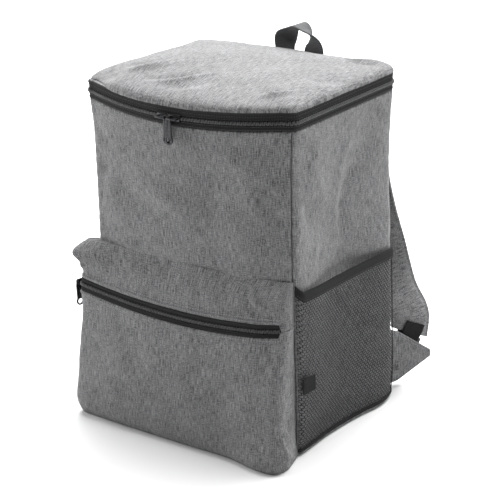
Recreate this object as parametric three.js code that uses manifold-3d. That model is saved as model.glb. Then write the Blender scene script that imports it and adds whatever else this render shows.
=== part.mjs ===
// Cooler backpack: a padded box-shaped bag with a zipped lid, a zipped front pocket, mesh side pockets,
// a carry handle and two shoulder straps that lead through ladder locks to wings in the back seams.
// Millimetres. X is to the right as seen from the front, Y to the back and Z up.
// The origin is on the floor, midway between the side panels and between the front corners and the back.
import * as THREE from "three";
import { mergeVertices } from "three/addons/utils/BufferGeometryUtils.js";
import Module from "manifold-3d";

const wasm = await Module();
wasm.setup();

// Bag
const BODY_WIDTH = 264;
const BODY_DEPTH = 200;
const RIM_HEIGHT = 353; // upper edge of the front and side panels at the corners
const WALL = 5; // padded panels
const FRONT_BOW = 20; // how far the middle of the front rim stands out
const RIM_SAG = 6; // how far the middle of the front rim hangs down
const SIDE_VALLEY = 11; // depth of the upright fold down each side
const FRONT_CORNER_RADIUS = 12;
const BACK_CORNER_RADIUS = 15;
const SEAM_GAP = 0.3; // between neighbouring pieces
const FACET_GAP = 0.4; // what the facets of two curved faces that lie together may need besides

// Lid
const LID_DOME = 21; // rise of the lid over its seam
const LID_WALL = 6;

// Main zip, on three sides of the rim
const TAPE_HEIGHT = 5.5;
const TAPE_THICKNESS = 1.2;
const COIL_HEIGHT = 4.4;
const COIL_THICKNESS = 2.4;
const MAIN_ZIP_MEETING = -3; // X of the two closed sliders' meeting place

// Zip sliders and pulls
const SLIDER_LENGTH = 14;
const SLIDER_PLATE = 1.2;
const SLIDER_FLANGE = 1.1;
const SLIDER_CLEARANCE = 0.35; // round the coil and over the tapes
const SLIDER_SPACING = 0.4; // between the closed sliders
const BAIL_LENGTH = 12; // over both feet of the arch that carries the pull
const BAIL_WIRE = 1.6;
const PULL_THICKNESS = 1.2;
const PULL_CLEARANCE = 0.35; // between plate, pulls and arch
const PULL_EYE_CLEARANCE = 0.5; // round the foot of the arch
const PULL_EYE_WALL = 1.5;
const PULL_STEM_WIDTH = 7;
const PULL_REACH = 23; // from the foot of the arch to the middle of the end ring
const PULL_RING_RADIUS = 4.8;
const PULL_RING_HOLE_RADIUS = 2.9;

// Front pocket
const FABRIC = 1.5;
const POCKET_WIDTH = 254; // where it is sewn to the front panel
const POCKET_HEIGHT = 196;
const POCKET_FLOOR = 0.6; // its lower face over the floor
const POCKET_DEPTH = 39;
const POCKET_FLARE = 12; // how far its lower corners spread
const POCKET_ZIP_WRAP = 5; // how far the zip runs round the pocket's right corner
const POCKET_CORNER_RADIUS = 12;
const POCKET_ZIP_HEIGHT = 149; // middle of the zip at the ends
const POCKET_ZIP_SAG = 8; // how far the zip hangs down in the middle
const POCKET_TAPE_HEIGHT = 4;
const POCKET_COIL_HEIGHT = 4.2;

// Mesh side pockets
const MESH = 1;
const MESH_STANDOFF = 3; // hollow in front of the undented side
const MESH_FLOOR = 5; // lower edge over the floor
const MESH_FRONT_HEIGHT = 181; // upper edge of the net at the front seam
const MESH_BACK_HEIGHT = 163;
const MESH_CLOSING = 45; // height over which the net leaves the side panel
const BINDING_HEIGHT = 11.5;
const BINDING_THICKNESS = 2.4;

// Blank tag on the right side
const TAG_WIDTH = 14; // past the front corner
const TAG_HEIGHT = 17;
const TAG_THICKNESS = 0.8;
const TAG_BASE = 72; // lower edge over the floor

// Carry handle
const HANDLE_WIDTH = 25;
const HANDLE_THICKNESS = 2.4;
const HANDLE_SPREAD = 37; // between the middles of its feet
const HANDLE_FOOT = 20; // length sewn to the back panel
const HANDLE_RISE = 37; // top of the loop over the back panel's upper edge
const HANDLE_OFFSET = 6; // middle of the loop, to the right of the middle of the bag
const HANDLE_BEND = 0.55; // where the loop's shoulders lie, as a share of half its spread
const HANDLE_SHOULDER = 0.3; // how far they lie under its top, as a share of half its spread
const HANDLE_FLAT = 0.2; // share of its length at each end that stays flat against the bag

// Shoulder straps
const STRAP_WIDTH = 58;
const STRAP_END_WIDTH = 42;
const STRAP_THICKNESS = 8;
const STRAP_TOP_OFFSET = 74; // middle of the sewn end from the middle of the bag
const STRAP_TOP_DROP = 10; // sewn end under the upper edge of the back panel
const STRAP_BULGE = 16; // how far its middle stands off the straight way down
const STRAP_BOTTOM_HEIGHT = 62; // middle of the padded strap's lower end over the floor
const STRAP_BOTTOM_REACH = 28; // its middle from the back corner, along the wing
const STRAP_TILT = 24; // degrees that the end slants down away from the bag
const WEBBING_WIDTH = 25;
const WEBBING_THICKNESS = 1.5;
const WEBBING_TAIL = 28; // free end under the ladder lock's lower bar
const LINK_LENGTH = 13; // webbing sewn to both faces of the padded strap's end
const LINK_CLEARANCE = 1; // over the strap's faces, which turn there
const BUCKLE_WIDTH = 36;
const BUCKLE_HEIGHT = 27;
const BUCKLE_THICKNESS = 3.2;
const BUCKLE_BAR = 4;
const BUCKLE_CLEARANCE = 1; // beside the webbing in its slots
const BUCKLE_MARGIN = 4; // from the end of the padded strap to the ladder lock
const WING_THICKNESS = 2.5;
const WING_HEIGHT = 72; // along the back corner
const WING_TIP = 8; // height of its blunt tip
const WING_DROOP = 5; // how far its tip hangs under the middle of its seam
const WING_FLOOR = 4;
const WING_REACH = 51;

// Fineness of the facets
const SIDE_STEPS = 8;
const CORNER_STEPS = 4;
const BODY_STEPS = 12;
const LID_STEPS = 8;
const HANDLE_STEPS = 24;
const STRAP_STEPS = 20;
const WEBBING_STEPS = 28;

// Body sections: height is a share of RIM_HEIGHT, width and depth of the body's, bow of FRONT_BOW,
// valley of SIDE_VALLEY.
const BODY_LEVELS = [
  { height: 0.0, width: 0.975, depth: 0.98, bow: 0.12, valley: 0.1 },
  { height: 0.07, width: 0.99, depth: 0.995, bow: 0.2, valley: 0.45 },
  { height: 0.25, width: 0.995, depth: 1.0, bow: 0.3, valley: 0.85 },
  { height: 0.45, width: 0.985, depth: 1.0, bow: 0.38, valley: 1.0 },
  { height: 0.62, width: 0.98, depth: 0.995, bow: 0.48, valley: 0.95 },
  { height: 0.8, width: 0.98, depth: 0.99, bow: 0.66, valley: 0.6 },
  { height: 0.93, width: 0.985, depth: 0.99, bow: 0.86, valley: 0.22 },
  { height: 1.0, width: 1.0, depth: 1.0, bow: 1.0, valley: 0.0 },
];

// Lid from the seam to its middle: ring counts from 0 to 1, reach is the share of the way out from
// the middle, rise of LID_DOME.
const LID_RINGS = [
  { ring: 0.0, reach: 1.0, rise: 0.0 },
  { ring: 0.14, reach: 1.0, rise: 0.2 },
  { ring: 0.28, reach: 0.975, rise: 0.4 },
  { ring: 0.45, reach: 0.88, rise: 0.6 },
  { ring: 0.65, reach: 0.66, rise: 0.8 },
  { ring: 0.85, reach: 0.34, rise: 0.95 },
  { ring: 1.0, reach: 0.0, rise: 1.0 },
];

// Soft creases of the lid: across and along are shares of half the width and depth, sink and spread
// shares of LID_DOME and half the width, turn in degrees from the X axis.
const LID_CREASES = [
  { across: -1.0, along: -0.9, sink: 0.3, length: 0.4, spread: 0.22, turn: 50 },
  { across: -0.62, along: -0.66, sink: 0.22, length: 0.34, spread: 0.07, turn: 58 },
  { across: 0.02, along: -0.78, sink: 0.16, length: 0.36, spread: 0.08, turn: 38 },
  { across: 0.8, along: -0.62, sink: 0.2, length: 0.22, spread: 0.07, turn: -48 },
  { across: 0.66, along: 0.74, sink: 0.16, length: 0.28, spread: 0.08, turn: 40 },
];

// Front pocket from its lower edge to its seam: height is a share of POCKET_HEIGHT, depth of
// POCKET_DEPTH, flare of POCKET_FLARE.
const POCKET_LEVELS = [
  { height: 0.0, depth: 0.92, flare: 0.95 },
  { height: 0.04, depth: 1.0, flare: 1.0 },
  { height: 0.2, depth: 0.98, flare: 0.62 },
  { height: 0.4, depth: 0.84, flare: 0.45 },
  { height: 0.6, depth: 0.66, flare: 0.42 },
  { height: 0.74, depth: 0.51, flare: 0.42 },
  { height: 0.82, depth: 0.4, flare: 0.4 },
  { height: 0.92, depth: 0.24, flare: 0.25 },
  { height: 1.0, depth: 0.0, flare: 0.0 },
];

// Puffs and folds of the front pocket: across and height are shares of its half width and height,
// out of POCKET_DEPTH and side of POCKET_FLARE, wide and tall say how far each one spreads.
const POCKET_FOLDS = [
  { across: -1.0, height: 0.94, out: 0.42, side: -1.5, wide: 0.22, tall: 0.065 },
  { across: -1.0, height: 0.8, out: 0.0, side: -0.75, wide: 0.3, tall: 0.14 },
  { across: -1.0, height: 0.4, out: 0.0, side: -0.75, wide: 0.4, tall: 0.55 },
  { across: 0.85, height: 0.03, out: 0.24, side: 0.1, wide: 0.22, tall: 0.1 },
  { across: 0.93, height: 0.72, out: -0.12, side: 0.0, wide: 0.12, tall: 0.14 },
  { across: 0.5, height: 0.34, out: -0.05, side: 0.0, wide: 0.16, tall: 0.3 },
  { across: -0.55, height: 0.5, out: 0.05, side: 0.0, wide: 0.3, tall: 0.25 },
];

// Upper edge of the side nets: along runs from the front seam to the back, fall is the share of the
// way from MESH_FRONT_HEIGHT down to MESH_BACK_HEIGHT.
const MESH_EDGE = [
  { along: 0.0, fall: 0.0 },
  { along: 0.25, fall: 0.47 },
  { along: 0.5, fall: 0.68 },
  { along: 0.75, fall: 0.8 },
  { along: 1.0, fall: 1.0 },
];

// Right shoulder strap from its sewn end to its ladder lock: way is the share of the way across,
// down of the way down, out of STRAP_BULGE, width of the way from STRAP_WIDTH to STRAP_END_WIDTH,
// turn of the turn that lays it beside the wing.
const STRAP_STATIONS = [
  { way: 0.0, down: 0.0, out: 0.0, width: 0.0, turn: 0.0 },
  { way: 0.01, down: 0.1, out: 0.02, width: 0.0, turn: 0.0 },
  { way: 0.08, down: 0.25, out: 0.4, width: 0.02, turn: 0.0 },
  { way: 0.17, down: 0.44, out: 0.7, width: 0.15, turn: 0.06 },
  { way: 0.36, down: 0.64, out: 0.85, width: 0.5, turn: 0.26 },
  { way: 0.68, down: 0.82, out: 0.45, width: 0.85, turn: 0.68 },
  { way: 1.0, down: 0.93, out: 0.0, width: 1.0, turn: 1.0 },
  { way: 1.0, down: 1.0, out: 0.0, width: 1.0, turn: 1.0 },
];

// Places round the outline: a whole number for the start of each stretch, anticlockwise from above.
const FRONT_LEFT_SEAM = -0.5;
const FRONT = 0;
const FRONT_MIDDLE = 0.5;
const FRONT_RIGHT_SEAM = 1.5;
const NET_START = 1.62;
const RIGHT = 2;
const NET_END = 3.3;
const BACK_RIGHT_SEAM = 4;
const BACK_LEFT_SEAM = 5;
const WING_PLACE = 3.65;
const ROUND = 8;

const ZIP_STACK = 2 * TAPE_HEIGHT + COIL_HEIGHT + 4 * SEAM_GAP;
const LID_SEAM_HEIGHT = RIM_HEIGHT + ZIP_STACK;
const WALL_FOOT = WALL + SEAM_GAP;

const UP = new THREE.Vector3(0, 0, 1);

const MATERIALS = {
  melange: { color: "#6f7072", roughness: 0.85, metalness: 0 },
  black_trim: { color: "#141416", roughness: 0.75, metalness: 0 },
  coil: { color: "#101012", roughness: 0.45, metalness: 0 },
  net: { color: "#1c1c1e", roughness: 0.8, metalness: 0 },
  webbing: { color: "#3a3b3d", roughness: 0.8, metalness: 0 },
  zip_metal: { color: "#77787a", roughness: 0.35, metalness: 1 },
  buckle_plastic: { color: "#121213", roughness: 0.4, metalness: 0 },
};

const bag = new THREE.Group();
bag.name = "cooler_backpack";

function add(name, geometry, material, parent = bag) {
  const mesh = new THREE.Mesh(geometry, new THREE.MeshStandardMaterial(MATERIALS[material]));
  mesh.name = name;
  parent.add(mesh);
  return mesh;
}

// Numbers from `from` to `to` in even steps.
function evenly(from, to, steps) {
  return Array.from({ length: steps + 1 }, (_, i) => from + ((to - from) * i) / steps);
}

// A smooth curve through one column of a table, with another column as its argument.
function column(rows, argument, value) {
  const places = rows.map((row) => row[argument]);
  const values = rows.map((row) => row[value]);
  const curve = new THREE.CubicInterpolant(places, values, 1, new Float64Array(1));
  return (at) => curve.evaluate(THREE.MathUtils.clamp(at, places[0], places.at(-1)))[0];
}

function columns(rows, argument) {
  const names = Object.keys(rows[0]).filter((name) => name !== argument);
  return Object.fromEntries(names.map((name) => [name, column(rows, argument, name)]));
}

const bodyAt = columns(BODY_LEVELS, "height");
const lidAt = columns(LID_RINGS, "ring");
const pocketAt = columns(POCKET_LEVELS, "height");
const meshEdgeAt = columns(MESH_EDGE, "along");

// A closed geometry from corners and triangles: shared corners are merged, triangles that collapse to
// a line are left out, and the faces are turned to look outwards.
function closedGeometry(corners, triangles) {
  const loose = new THREE.BufferGeometry();
  loose.setAttribute("position", new THREE.Float32BufferAttribute(corners.flatMap((p) => p.toArray()), 3));
  loose.setIndex(triangles.flat());
  const merged = mergeVertices(loose, 1e-3);
  const index = merged.index.array;
  const kept = [];
  for (let i = 0; i < index.length; i += 3) {
    const [a, b, c] = [index[i], index[i + 1], index[i + 2]];
    if (a !== b && b !== c && c !== a) kept.push([a, b, c]);
  }
  const at = (i) => new THREE.Vector3().fromBufferAttribute(merged.attributes.position, i);
  const volume = kept.reduce((sum, [a, b, c]) => sum + at(a).dot(at(b).cross(at(c))), 0);
  merged.setIndex(kept.flatMap(([a, b, c]) => (volume > 0 ? [a, b, c] : [a, c, b])));
  merged.computeVertexNormals();
  return merged;
}

// A sheet of some thickness: point(place, height, depth) gives the surface at a depth under its outer
// face. Where `round` is true, the last place joins the first.
function sheet(point, places, heights, thickness, round = false) {
  const layers = [0, thickness];
  const corners = layers.flatMap((depth) => places.flatMap((p) => heights.map((h) => point(p, h, depth))));
  const layerSize = places.length * heights.length;
  const at = (layer, i, j) => layer * layerSize + (i % places.length) * heights.length + j;
  const triangles = [];
  const face = (a, b, c, d) => triangles.push([a, b, c], [a, c, d]);
  const lastPlace = round ? places.length : places.length - 1;
  const lastHeight = heights.length - 1;
  for (let i = 0; i < lastPlace; i++) {
    for (let j = 0; j < lastHeight; j++) {
      face(at(0, i, j), at(0, i + 1, j), at(0, i + 1, j + 1), at(0, i, j + 1));
      face(at(1, i, j), at(1, i, j + 1), at(1, i + 1, j + 1), at(1, i + 1, j));
    }
    face(at(1, i, 0), at(1, i + 1, 0), at(0, i + 1, 0), at(0, i, 0));
    face(at(0, i, lastHeight), at(0, i + 1, lastHeight), at(1, i + 1, lastHeight), at(1, i, lastHeight));
  }
  for (let j = 0; j < lastHeight && !round; j++) {
    face(at(0, 0, j), at(0, 0, j + 1), at(1, 0, j + 1), at(1, 0, j));
    face(at(1, lastPlace, j), at(1, lastPlace, j + 1), at(0, lastPlace, j + 1), at(0, lastPlace, j));
  }
  return closedGeometry(corners, triangles);
}

// A solid swept along stations. Each has a centre, unit directions across and out, and a convex
// section of [across, out] pairs.
function sweep(stations) {
  const sides = stations[0].section.length;
  const corners = stations.flatMap(({ centre, across, out, section }) =>
    section.map(([a, o]) => centre.clone().addScaledVector(across, a).addScaledVector(out, o)),
  );
  const at = (i, k) => i * sides + (k % sides);
  const last = stations.length - 1;
  const triangles = [];
  for (let k = 0; k < sides; k++) {
    for (let i = 0; i < last; i++) {
      triangles.push([at(i, k), at(i + 1, k), at(i + 1, k + 1)], [at(i, k), at(i + 1, k + 1), at(i, k + 1)]);
    }
  }
  for (let k = 1; k < sides - 1; k++) {
    triangles.push([at(0, 0), at(0, k), at(0, k + 1)], [at(last, 0), at(last, k + 1), at(last, k)]);
  }
  return closedGeometry(corners, triangles);
}

function flatSection(width, thickness) {
  const [w, t] = [width / 2, thickness / 2];
  return [[-w, -t], [w, -t], [w, t], [-w, t]];
}

// A padded strip: full in the middle, thinner at its bound edges.
function paddedSection(width, thickness) {
  const [w, t] = [width / 2, thickness / 2];
  const shoulder = w - t;
  const edge = t / 2;
  const right = [[shoulder, -t], [w, -edge], [w, edge], [shoulder, t]];
  const left = [[-shoulder, t], [-w, edge], [-w, -edge], [-shoulder, -t]];
  return [...right, ...left];
}

// Stations along a curve: across(t) gives the wanted direction of the strip's width.
function stripStations(curve, steps, across, section) {
  return evenly(0, 1, steps).map((t) => {
    const along = curve.getTangent(t);
    const out = new THREE.Vector3().crossVectors(along, across(t)).normalize();
    const width = new THREE.Vector3().crossVectors(out, along).normalize();
    return { centre: curve.getPoint(t), across: width, out, section: section(t) };
  });
}

function solid(geometry) {
  const bare = new THREE.BufferGeometry();
  bare.setAttribute("position", geometry.getAttribute("position"));
  if (geometry.index) bare.setIndex(geometry.index);
  const merged = mergeVertices(bare, 1e-3);
  const vertProperties = merged.attributes.position.array;
  const triVerts = new Uint32Array(merged.index.array);
  return new wasm.Manifold(new wasm.Mesh({ numProp: 3, vertProperties, triVerts }));
}

function join(...geometries) {
  const joined = geometries.map(solid).reduce((sum, next) => sum.add(next));
  const { numProp, vertProperties, triVerts } = joined.getMesh();
  const positions = [];
  for (let i = 0; i < vertProperties.length; i += numProp) {
    positions.push(...vertProperties.subarray(i, i + 3));
  }
  const geometry = new THREE.BufferGeometry();
  geometry.setAttribute("position", new THREE.Float32BufferAttribute(positions, 3));
  geometry.setIndex([...triVerts]);
  geometry.computeVertexNormals();
  return geometry;
}

// A point of the bag's plan outline at one height. `valley` scales the fold of the side panels.
function outline(place, height, valley = 1) {
  const share = height / RIM_HEIGHT;
  const halfWidth = (bodyAt.width(share) * BODY_WIDTH) / 2;
  const halfDepth = (bodyAt.depth(share) * BODY_DEPTH) / 2;
  const bow = bodyAt.bow(share) * FRONT_BOW;
  const fold = bodyAt.valley(share) * SIDE_VALLEY * valley;
  const [front, back] = [FRONT_CORNER_RADIUS, BACK_CORNER_RADIUS];
  const wrapped = THREE.MathUtils.euclideanModulo(place, ROUND);
  const stretch = Math.floor(wrapped);
  const way = wrapped - stretch;
  const turn = (way * Math.PI) / 2;
  if (stretch > 4) {
    const mirrored = outline(9 - wrapped, height, valley);
    return mirrored.setX(-mirrored.x);
  }
  if (stretch === 0) {
    const across = 2 * way - 1;
    return new THREE.Vector2(across * (halfWidth - front), -halfDepth - bow * (1 - across ** 2));
  }
  if (stretch === 1) {
    const [x, y] = [halfWidth - front, front - halfDepth];
    return new THREE.Vector2(x + front * Math.sin(turn), y - front * Math.cos(turn));
  }
  if (stretch === 2) {
    const y = THREE.MathUtils.lerp(front - halfDepth, halfDepth - back, way);
    return new THREE.Vector2(halfWidth - fold * Math.sin(Math.PI * way) ** 2, y);
  }
  if (stretch === 3) {
    const [x, y] = [halfWidth - back, halfDepth - back];
    return new THREE.Vector2(x + back * Math.cos(turn), y + back * Math.sin(turn));
  }
  return new THREE.Vector2((halfWidth - back) * (1 - 2 * way), halfDepth);
}

function outwards(place, height, valley = 1) {
  const reach = 0.02;
  const along = outline(place + reach, height, valley).sub(outline(place - reach, height, valley));
  return new THREE.Vector2(along.y, -along.x).normalize();
}

// How far the outline hangs down there: only the front sags, and most at the rim.
function sag(place, height) {
  const wrapped = THREE.MathUtils.euclideanModulo(place, ROUND);
  if (wrapped >= 1) return 0;
  const across = 2 * wrapped - 1;
  return RIM_SAG * (1 - across ** 2) * Math.min(height / RIM_HEIGHT, 1) ** 3;
}

// A point at a depth under the bag's outer face.
function wallPoint(place, height, depth, valley = 1) {
  const plan = outline(place, height, valley).addScaledVector(outwards(place, height, valley), -depth);
  return new THREE.Vector3(plan.x, plan.y, height - sag(place, height));
}

// Places round the outline between two ends, with the given gaps in millimetres left at them.
function placesBetween(from, to, gap = SEAM_GAP / 2) {
  const stretchLength = (place) =>
    outline(place + 0.01, RIM_HEIGHT).distanceTo(outline(place - 0.01, RIM_HEIGHT)) / 0.02;
  const start = from + gap / stretchLength(from);
  const end = to - gap / stretchLength(to);
  const inside = [];
  for (let stretch = Math.floor(from); stretch < to; stretch++) {
    const steps = stretch % 2 ? CORNER_STEPS : SIDE_STEPS;
    inside.push(...evenly(stretch, stretch + 1, steps).slice(0, -1));
  }
  const margin = 0.02;
  return [start, ...inside.filter((place) => place > start + margin && place < end - margin), end];
}

// Box of the bag
function addBody() {
  const levels = evenly(WALL_FOOT, RIM_HEIGHT, BODY_STEPS);
  const backLevels = [...levels, LID_SEAM_HEIGHT - SEAM_GAP];
  const panel = (from, to, heights) => sheet(wallPoint, placesBetween(from, to), heights, WALL);
  add("front_panel", panel(FRONT_LEFT_SEAM, FRONT_RIGHT_SEAM, levels), "melange");
  add("side_panel_right", panel(FRONT_RIGHT_SEAM, BACK_RIGHT_SEAM, levels), "melange");
  add("side_panel_left", panel(BACK_LEFT_SEAM, ROUND + FRONT_LEFT_SEAM, levels), "melange");
  add("back_panel", panel(BACK_RIGHT_SEAM, BACK_LEFT_SEAM, backLevels), "melange");

  const round = evenly(0, ROUND, ROUND * CORNER_STEPS).slice(0, -1);
  const base = new THREE.Shape(round.map((place) => outline(place, 0)));
  add("base_panel", new THREE.ExtrudeGeometry(base, { depth: WALL, bevelEnabled: false }), "melange");
}

// Lid: a dome from its seam over the zip to the middle of the bag. Its under face keeps LID_WALL.
function lidPoint(place, ring, depth) {
  const edge = wallPoint(place, LID_SEAM_HEIGHT, depth);
  const middle = new THREE.Vector2(0, -FRONT_BOW / 4);
  const reach = lidAt.reach(ring);
  const x = THREE.MathUtils.lerp(middle.x, edge.x, reach);
  const y = THREE.MathUtils.lerp(middle.y, edge.y, reach);
  const rise = lidAt.rise(ring);
  let z = THREE.MathUtils.lerp(LID_SEAM_HEIGHT, edge.z, reach) + rise * LID_DOME;
  for (const crease of LID_CREASES) {
    const turn = THREE.MathUtils.degToRad(crease.turn);
    const right = (2 * x) / BODY_WIDTH - crease.across;
    const behind = (2 * y) / BODY_DEPTH - crease.along;
    const along = right * Math.cos(turn) + behind * Math.sin(turn);
    const aside = behind * Math.cos(turn) - right * Math.sin(turn);
    const near = Math.exp(-((along / crease.length) ** 2) - (aside / crease.spread) ** 2);
    z -= near * crease.sink * LID_DOME * Math.min(3 * rise, 1);
  }
  const lowered = Math.min(rise / LID_RINGS[2].rise, 1);
  return new THREE.Vector3(x, y, z - depth * lowered);
}

function addLid() {
  const round = placesBetween(FRONT, ROUND, 0).slice(0, -1);
  const rings = evenly(0, 1, LID_STEPS);
  add("lid_panel", sheet(lidPoint, round, rings, LID_WALL, true), "melange");
}

// Main zip: a coil between two tapes, one band over the other, from back seam to back seam.
function addMainZip() {
  const start = BACK_LEFT_SEAM - ROUND;
  const places = placesBetween(start, BACK_RIGHT_SEAM);
  const band = (bottom, height, proud, thickness) => {
    const point = (place, h, depth) => wallPoint(place, h, depth - proud);
    return sheet(point, places, [bottom, bottom + height], thickness);
  };
  const coilBase = RIM_HEIGHT + TAPE_HEIGHT + 2 * SEAM_GAP;
  const upperBase = coilBase + COIL_HEIGHT + SEAM_GAP;
  const proud = COIL_THICKNESS / 2;
  add("main_zip_tape_lower", band(RIM_HEIGHT + SEAM_GAP, TAPE_HEIGHT, 0, TAPE_THICKNESS), "black_trim");
  add("main_zip_coil", band(coilBase, COIL_HEIGHT, proud, COIL_THICKNESS), "coil");
  add("main_zip_tape_upper", band(upperBase, TAPE_HEIGHT, 0, TAPE_THICKNESS), "black_trim");

  const middle = coilBase + COIL_HEIGHT / 2;
  const pitch = SLIDER_LENGTH + SLIDER_SPACING;
  for (const [side, name] of [[-1, "left"], [1, "right"]]) {
    const x = MAIN_ZIP_MEETING + (side * pitch) / 2;
    const place = frontPlace(x, RIM_HEIGHT);
    const at = wallPoint(place, middle, 0);
    const out = outwards(place, middle);
    const frame = zipFrame(at, new THREE.Vector3(out.x, out.y, 0));
    const layer = side > 0 ? 1 : 0;
    addSlider("main_slider_" + name, "main_pull_" + name, frame, COIL_HEIGHT, -side, layer, 2);
  }
}

function frontPlace(x, height) {
  const halfWidth = (bodyAt.width(height / RIM_HEIGHT) * BODY_WIDTH) / 2;
  return FRONT_MIDDLE + x / (2 * (halfWidth - FRONT_CORNER_RADIUS));
}

// The frame of a slider: X along the zip to the right, Y up across it, Z out of the bag.
function zipFrame(origin, out) {
  const along = new THREE.Vector3().crossVectors(UP, out).normalize();
  const across = new THREE.Vector3().crossVectors(out, along);
  const group = new THREE.Group();
  group.matrixAutoUpdate = false;
  group.matrix.makeBasis(along, across, out).setPosition(origin);
  bag.add(group);
  return group;
}

// A channel over the coil with an arch on it. The pull turns about the arch's foot on side `foot`.
function addSlider(name, pullName, frame, coilHeight, foot, layer, layers) {
  const inside = coilHeight / 2 + SLIDER_CLEARANCE;
  const outside = inside + SLIDER_FLANGE;
  const under = COIL_THICKNESS / 2 + SLIDER_CLEARANCE;
  const plateTop = under + SLIDER_PLATE;
  const channel = new THREE.Shape();
  channel.moveTo(-outside, SLIDER_CLEARANCE);
  channel.lineTo(-inside, SLIDER_CLEARANCE);
  channel.lineTo(-inside, under);
  channel.lineTo(inside, under);
  channel.lineTo(inside, SLIDER_CLEARANCE);
  channel.lineTo(outside, SLIDER_CLEARANCE);
  channel.lineTo(outside, under);
  channel.lineTo(inside, plateTop);
  channel.lineTo(-inside, plateTop);
  channel.lineTo(-outside, under);
  const shell = new THREE.ExtrudeGeometry(channel, { depth: SLIDER_LENGTH, bevelEnabled: false });
  shell.rotateY(Math.PI / 2).rotateX(Math.PI / 2).translate(-SLIDER_LENGTH / 2, 0, 0);

  const room = layers * (PULL_THICKNESS + PULL_CLEARANCE) + PULL_CLEARANCE;
  const archTop = plateTop + room + BAIL_WIRE;
  const sunk = plateTop - SLIDER_PLATE / 2;
  const footPlace = BAIL_LENGTH / 2 - BAIL_WIRE / 2;
  const footPost = (side) => {
    const post = new THREE.CylinderGeometry(BAIL_WIRE / 2, BAIL_WIRE / 2, archTop - sunk, 8);
    return post.rotateX(Math.PI / 2).translate(side * footPlace, 0, (archTop + sunk) / 2);
  };
  const bar = new THREE.BoxGeometry(BAIL_LENGTH, BAIL_WIRE, BAIL_WIRE);
  bar.translate(0, 0, archTop - BAIL_WIRE / 2);
  add(name, join(shell, footPost(-1), footPost(1), bar), "zip_metal", frame);

  const pull = pullGeometry();
  const rise = plateTop + PULL_CLEARANCE + layer * (PULL_THICKNESS + PULL_CLEARANCE);
  pull.translate(foot * footPlace, 0, rise);
  add(pullName, pull, "zip_metal", frame);
}

// A pull that hangs down from its eye: a flat stem with a ring at its end.
function pullGeometry() {
  const eyeRadius = BAIL_WIRE / 2 + PULL_EYE_CLEARANCE;
  const neck = eyeRadius + PULL_EYE_WALL;
  const stem = PULL_STEM_WIDTH / 2;
  const ringTop = PULL_REACH - Math.sqrt(PULL_RING_RADIUS ** 2 - stem ** 2);
  const shoulder = 2 * neck;
  const ringTurn = Math.asin(stem / PULL_RING_RADIUS);
  const plate = new THREE.Shape();
  plate.moveTo(neck, 0);
  plate.absarc(0, 0, neck, 0, Math.PI, false);
  plate.lineTo(-neck, -neck / 2);
  plate.lineTo(-stem, -shoulder);
  plate.lineTo(-stem, -ringTop);
  plate.absarc(0, -PULL_REACH, PULL_RING_RADIUS, Math.PI / 2 + ringTurn, 2.5 * Math.PI - ringTurn, false);
  plate.lineTo(stem, -shoulder);
  plate.lineTo(neck, -neck / 2);
  plate.closePath();
  const hole = (y, radius) => new THREE.Path().absarc(0, y, radius, 0, 2 * Math.PI, true);
  plate.holes.push(hole(0, eyeRadius), hole(-PULL_REACH, PULL_RING_HOLE_RADIUS));
  return new THREE.ExtrudeGeometry(plate, { depth: PULL_THICKNESS, bevelEnabled: false, curveSegments: 7 });
}

// The front panel's outer face at a place given by X.
function frontFace(x, height) {
  const share = height / RIM_HEIGHT;
  const halfWidth = (bodyAt.width(share) * BODY_WIDTH) / 2;
  const halfDepth = (bodyAt.depth(share) * BODY_DEPTH) / 2;
  const straight = halfWidth - FRONT_CORNER_RADIUS;
  const aside = Math.abs(x) - straight;
  if (aside <= 0) return -halfDepth - bodyAt.bow(share) * FRONT_BOW * (1 - (x / straight) ** 2);
  const sideways = Math.min(aside, FRONT_CORNER_RADIUS);
  return FRONT_CORNER_RADIUS - halfDepth - Math.sqrt(FRONT_CORNER_RADIUS ** 2 - sideways ** 2);
}

const POCKET_GAP = SEAM_GAP + FACET_GAP;

// The front pocket's shell. Place runs from 0 at its left seam over its left wall, corner, face,
// corner and right wall to 5. Height is a share of POCKET_HEIGHT, and below 0 it counts the way back
// under the pocket to the bag, down to -1.
function pocketPoint(place, height, depth) {
  const level = Math.max(height, 0);
  const reach = FABRIC + pocketAt.depth(level) * (POCKET_DEPTH - FABRIC) - depth;
  const way = height < 0 ? 1 + height : 1;
  const half = POCKET_WIDTH / 2;
  const radius = Math.min(POCKET_CORNER_RADIUS - depth, reach);
  const side = place < 2.5 ? -1 : 1;
  const step = side < 0 ? place : 5 - place;
  let across = half - depth;
  let out = step * (reach - radius);
  if (step > 2) {
    across = ((across - radius) * (2.5 - step)) / 0.5;
    out = reach;
  } else if (step > 1) {
    const turn = ((step - 1) * Math.PI) / 2;
    out = reach - radius + radius * Math.sin(turn);
    across = across - radius + radius * Math.cos(turn);
  }
  out *= way;
  const proudness = reach > 0 ? Math.min(out / reach, 1) : 0;
  const middle = 1 - (across / half) ** 2;
  let x = side * (across + pocketAt.flare(level) * POCKET_FLARE * proudness * (across / half) ** 4);
  for (const fold of POCKET_FOLDS) {
    const near = ((side * across) / half - fold.across) / fold.wide;
    const far = (level - fold.height) / fold.tall;
    const weight = Math.exp(-(near ** 2) - far ** 2) * proudness;
    x += weight * fold.side * POCKET_FLARE;
    out += weight * fold.out * POCKET_DEPTH * way;
  }
  const hang = POCKET_ZIP_SAG * middle * 4 * level * (1 - level) / zipBulge();
  const z = POCKET_FLOOR + Math.max(level * (POCKET_HEIGHT - POCKET_FLOOR) - hang, depth);
  return new THREE.Vector3(x, Math.min(frontFace(side * across, z), frontFace(x, z)) - POCKET_GAP - out, z);
}

// The share of its greatest sag that the pocket has at the zip.
function zipBulge() {
  const level = POCKET_ZIP_HEIGHT / POCKET_HEIGHT;
  return 4 * level * (1 - level);
}

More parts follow.
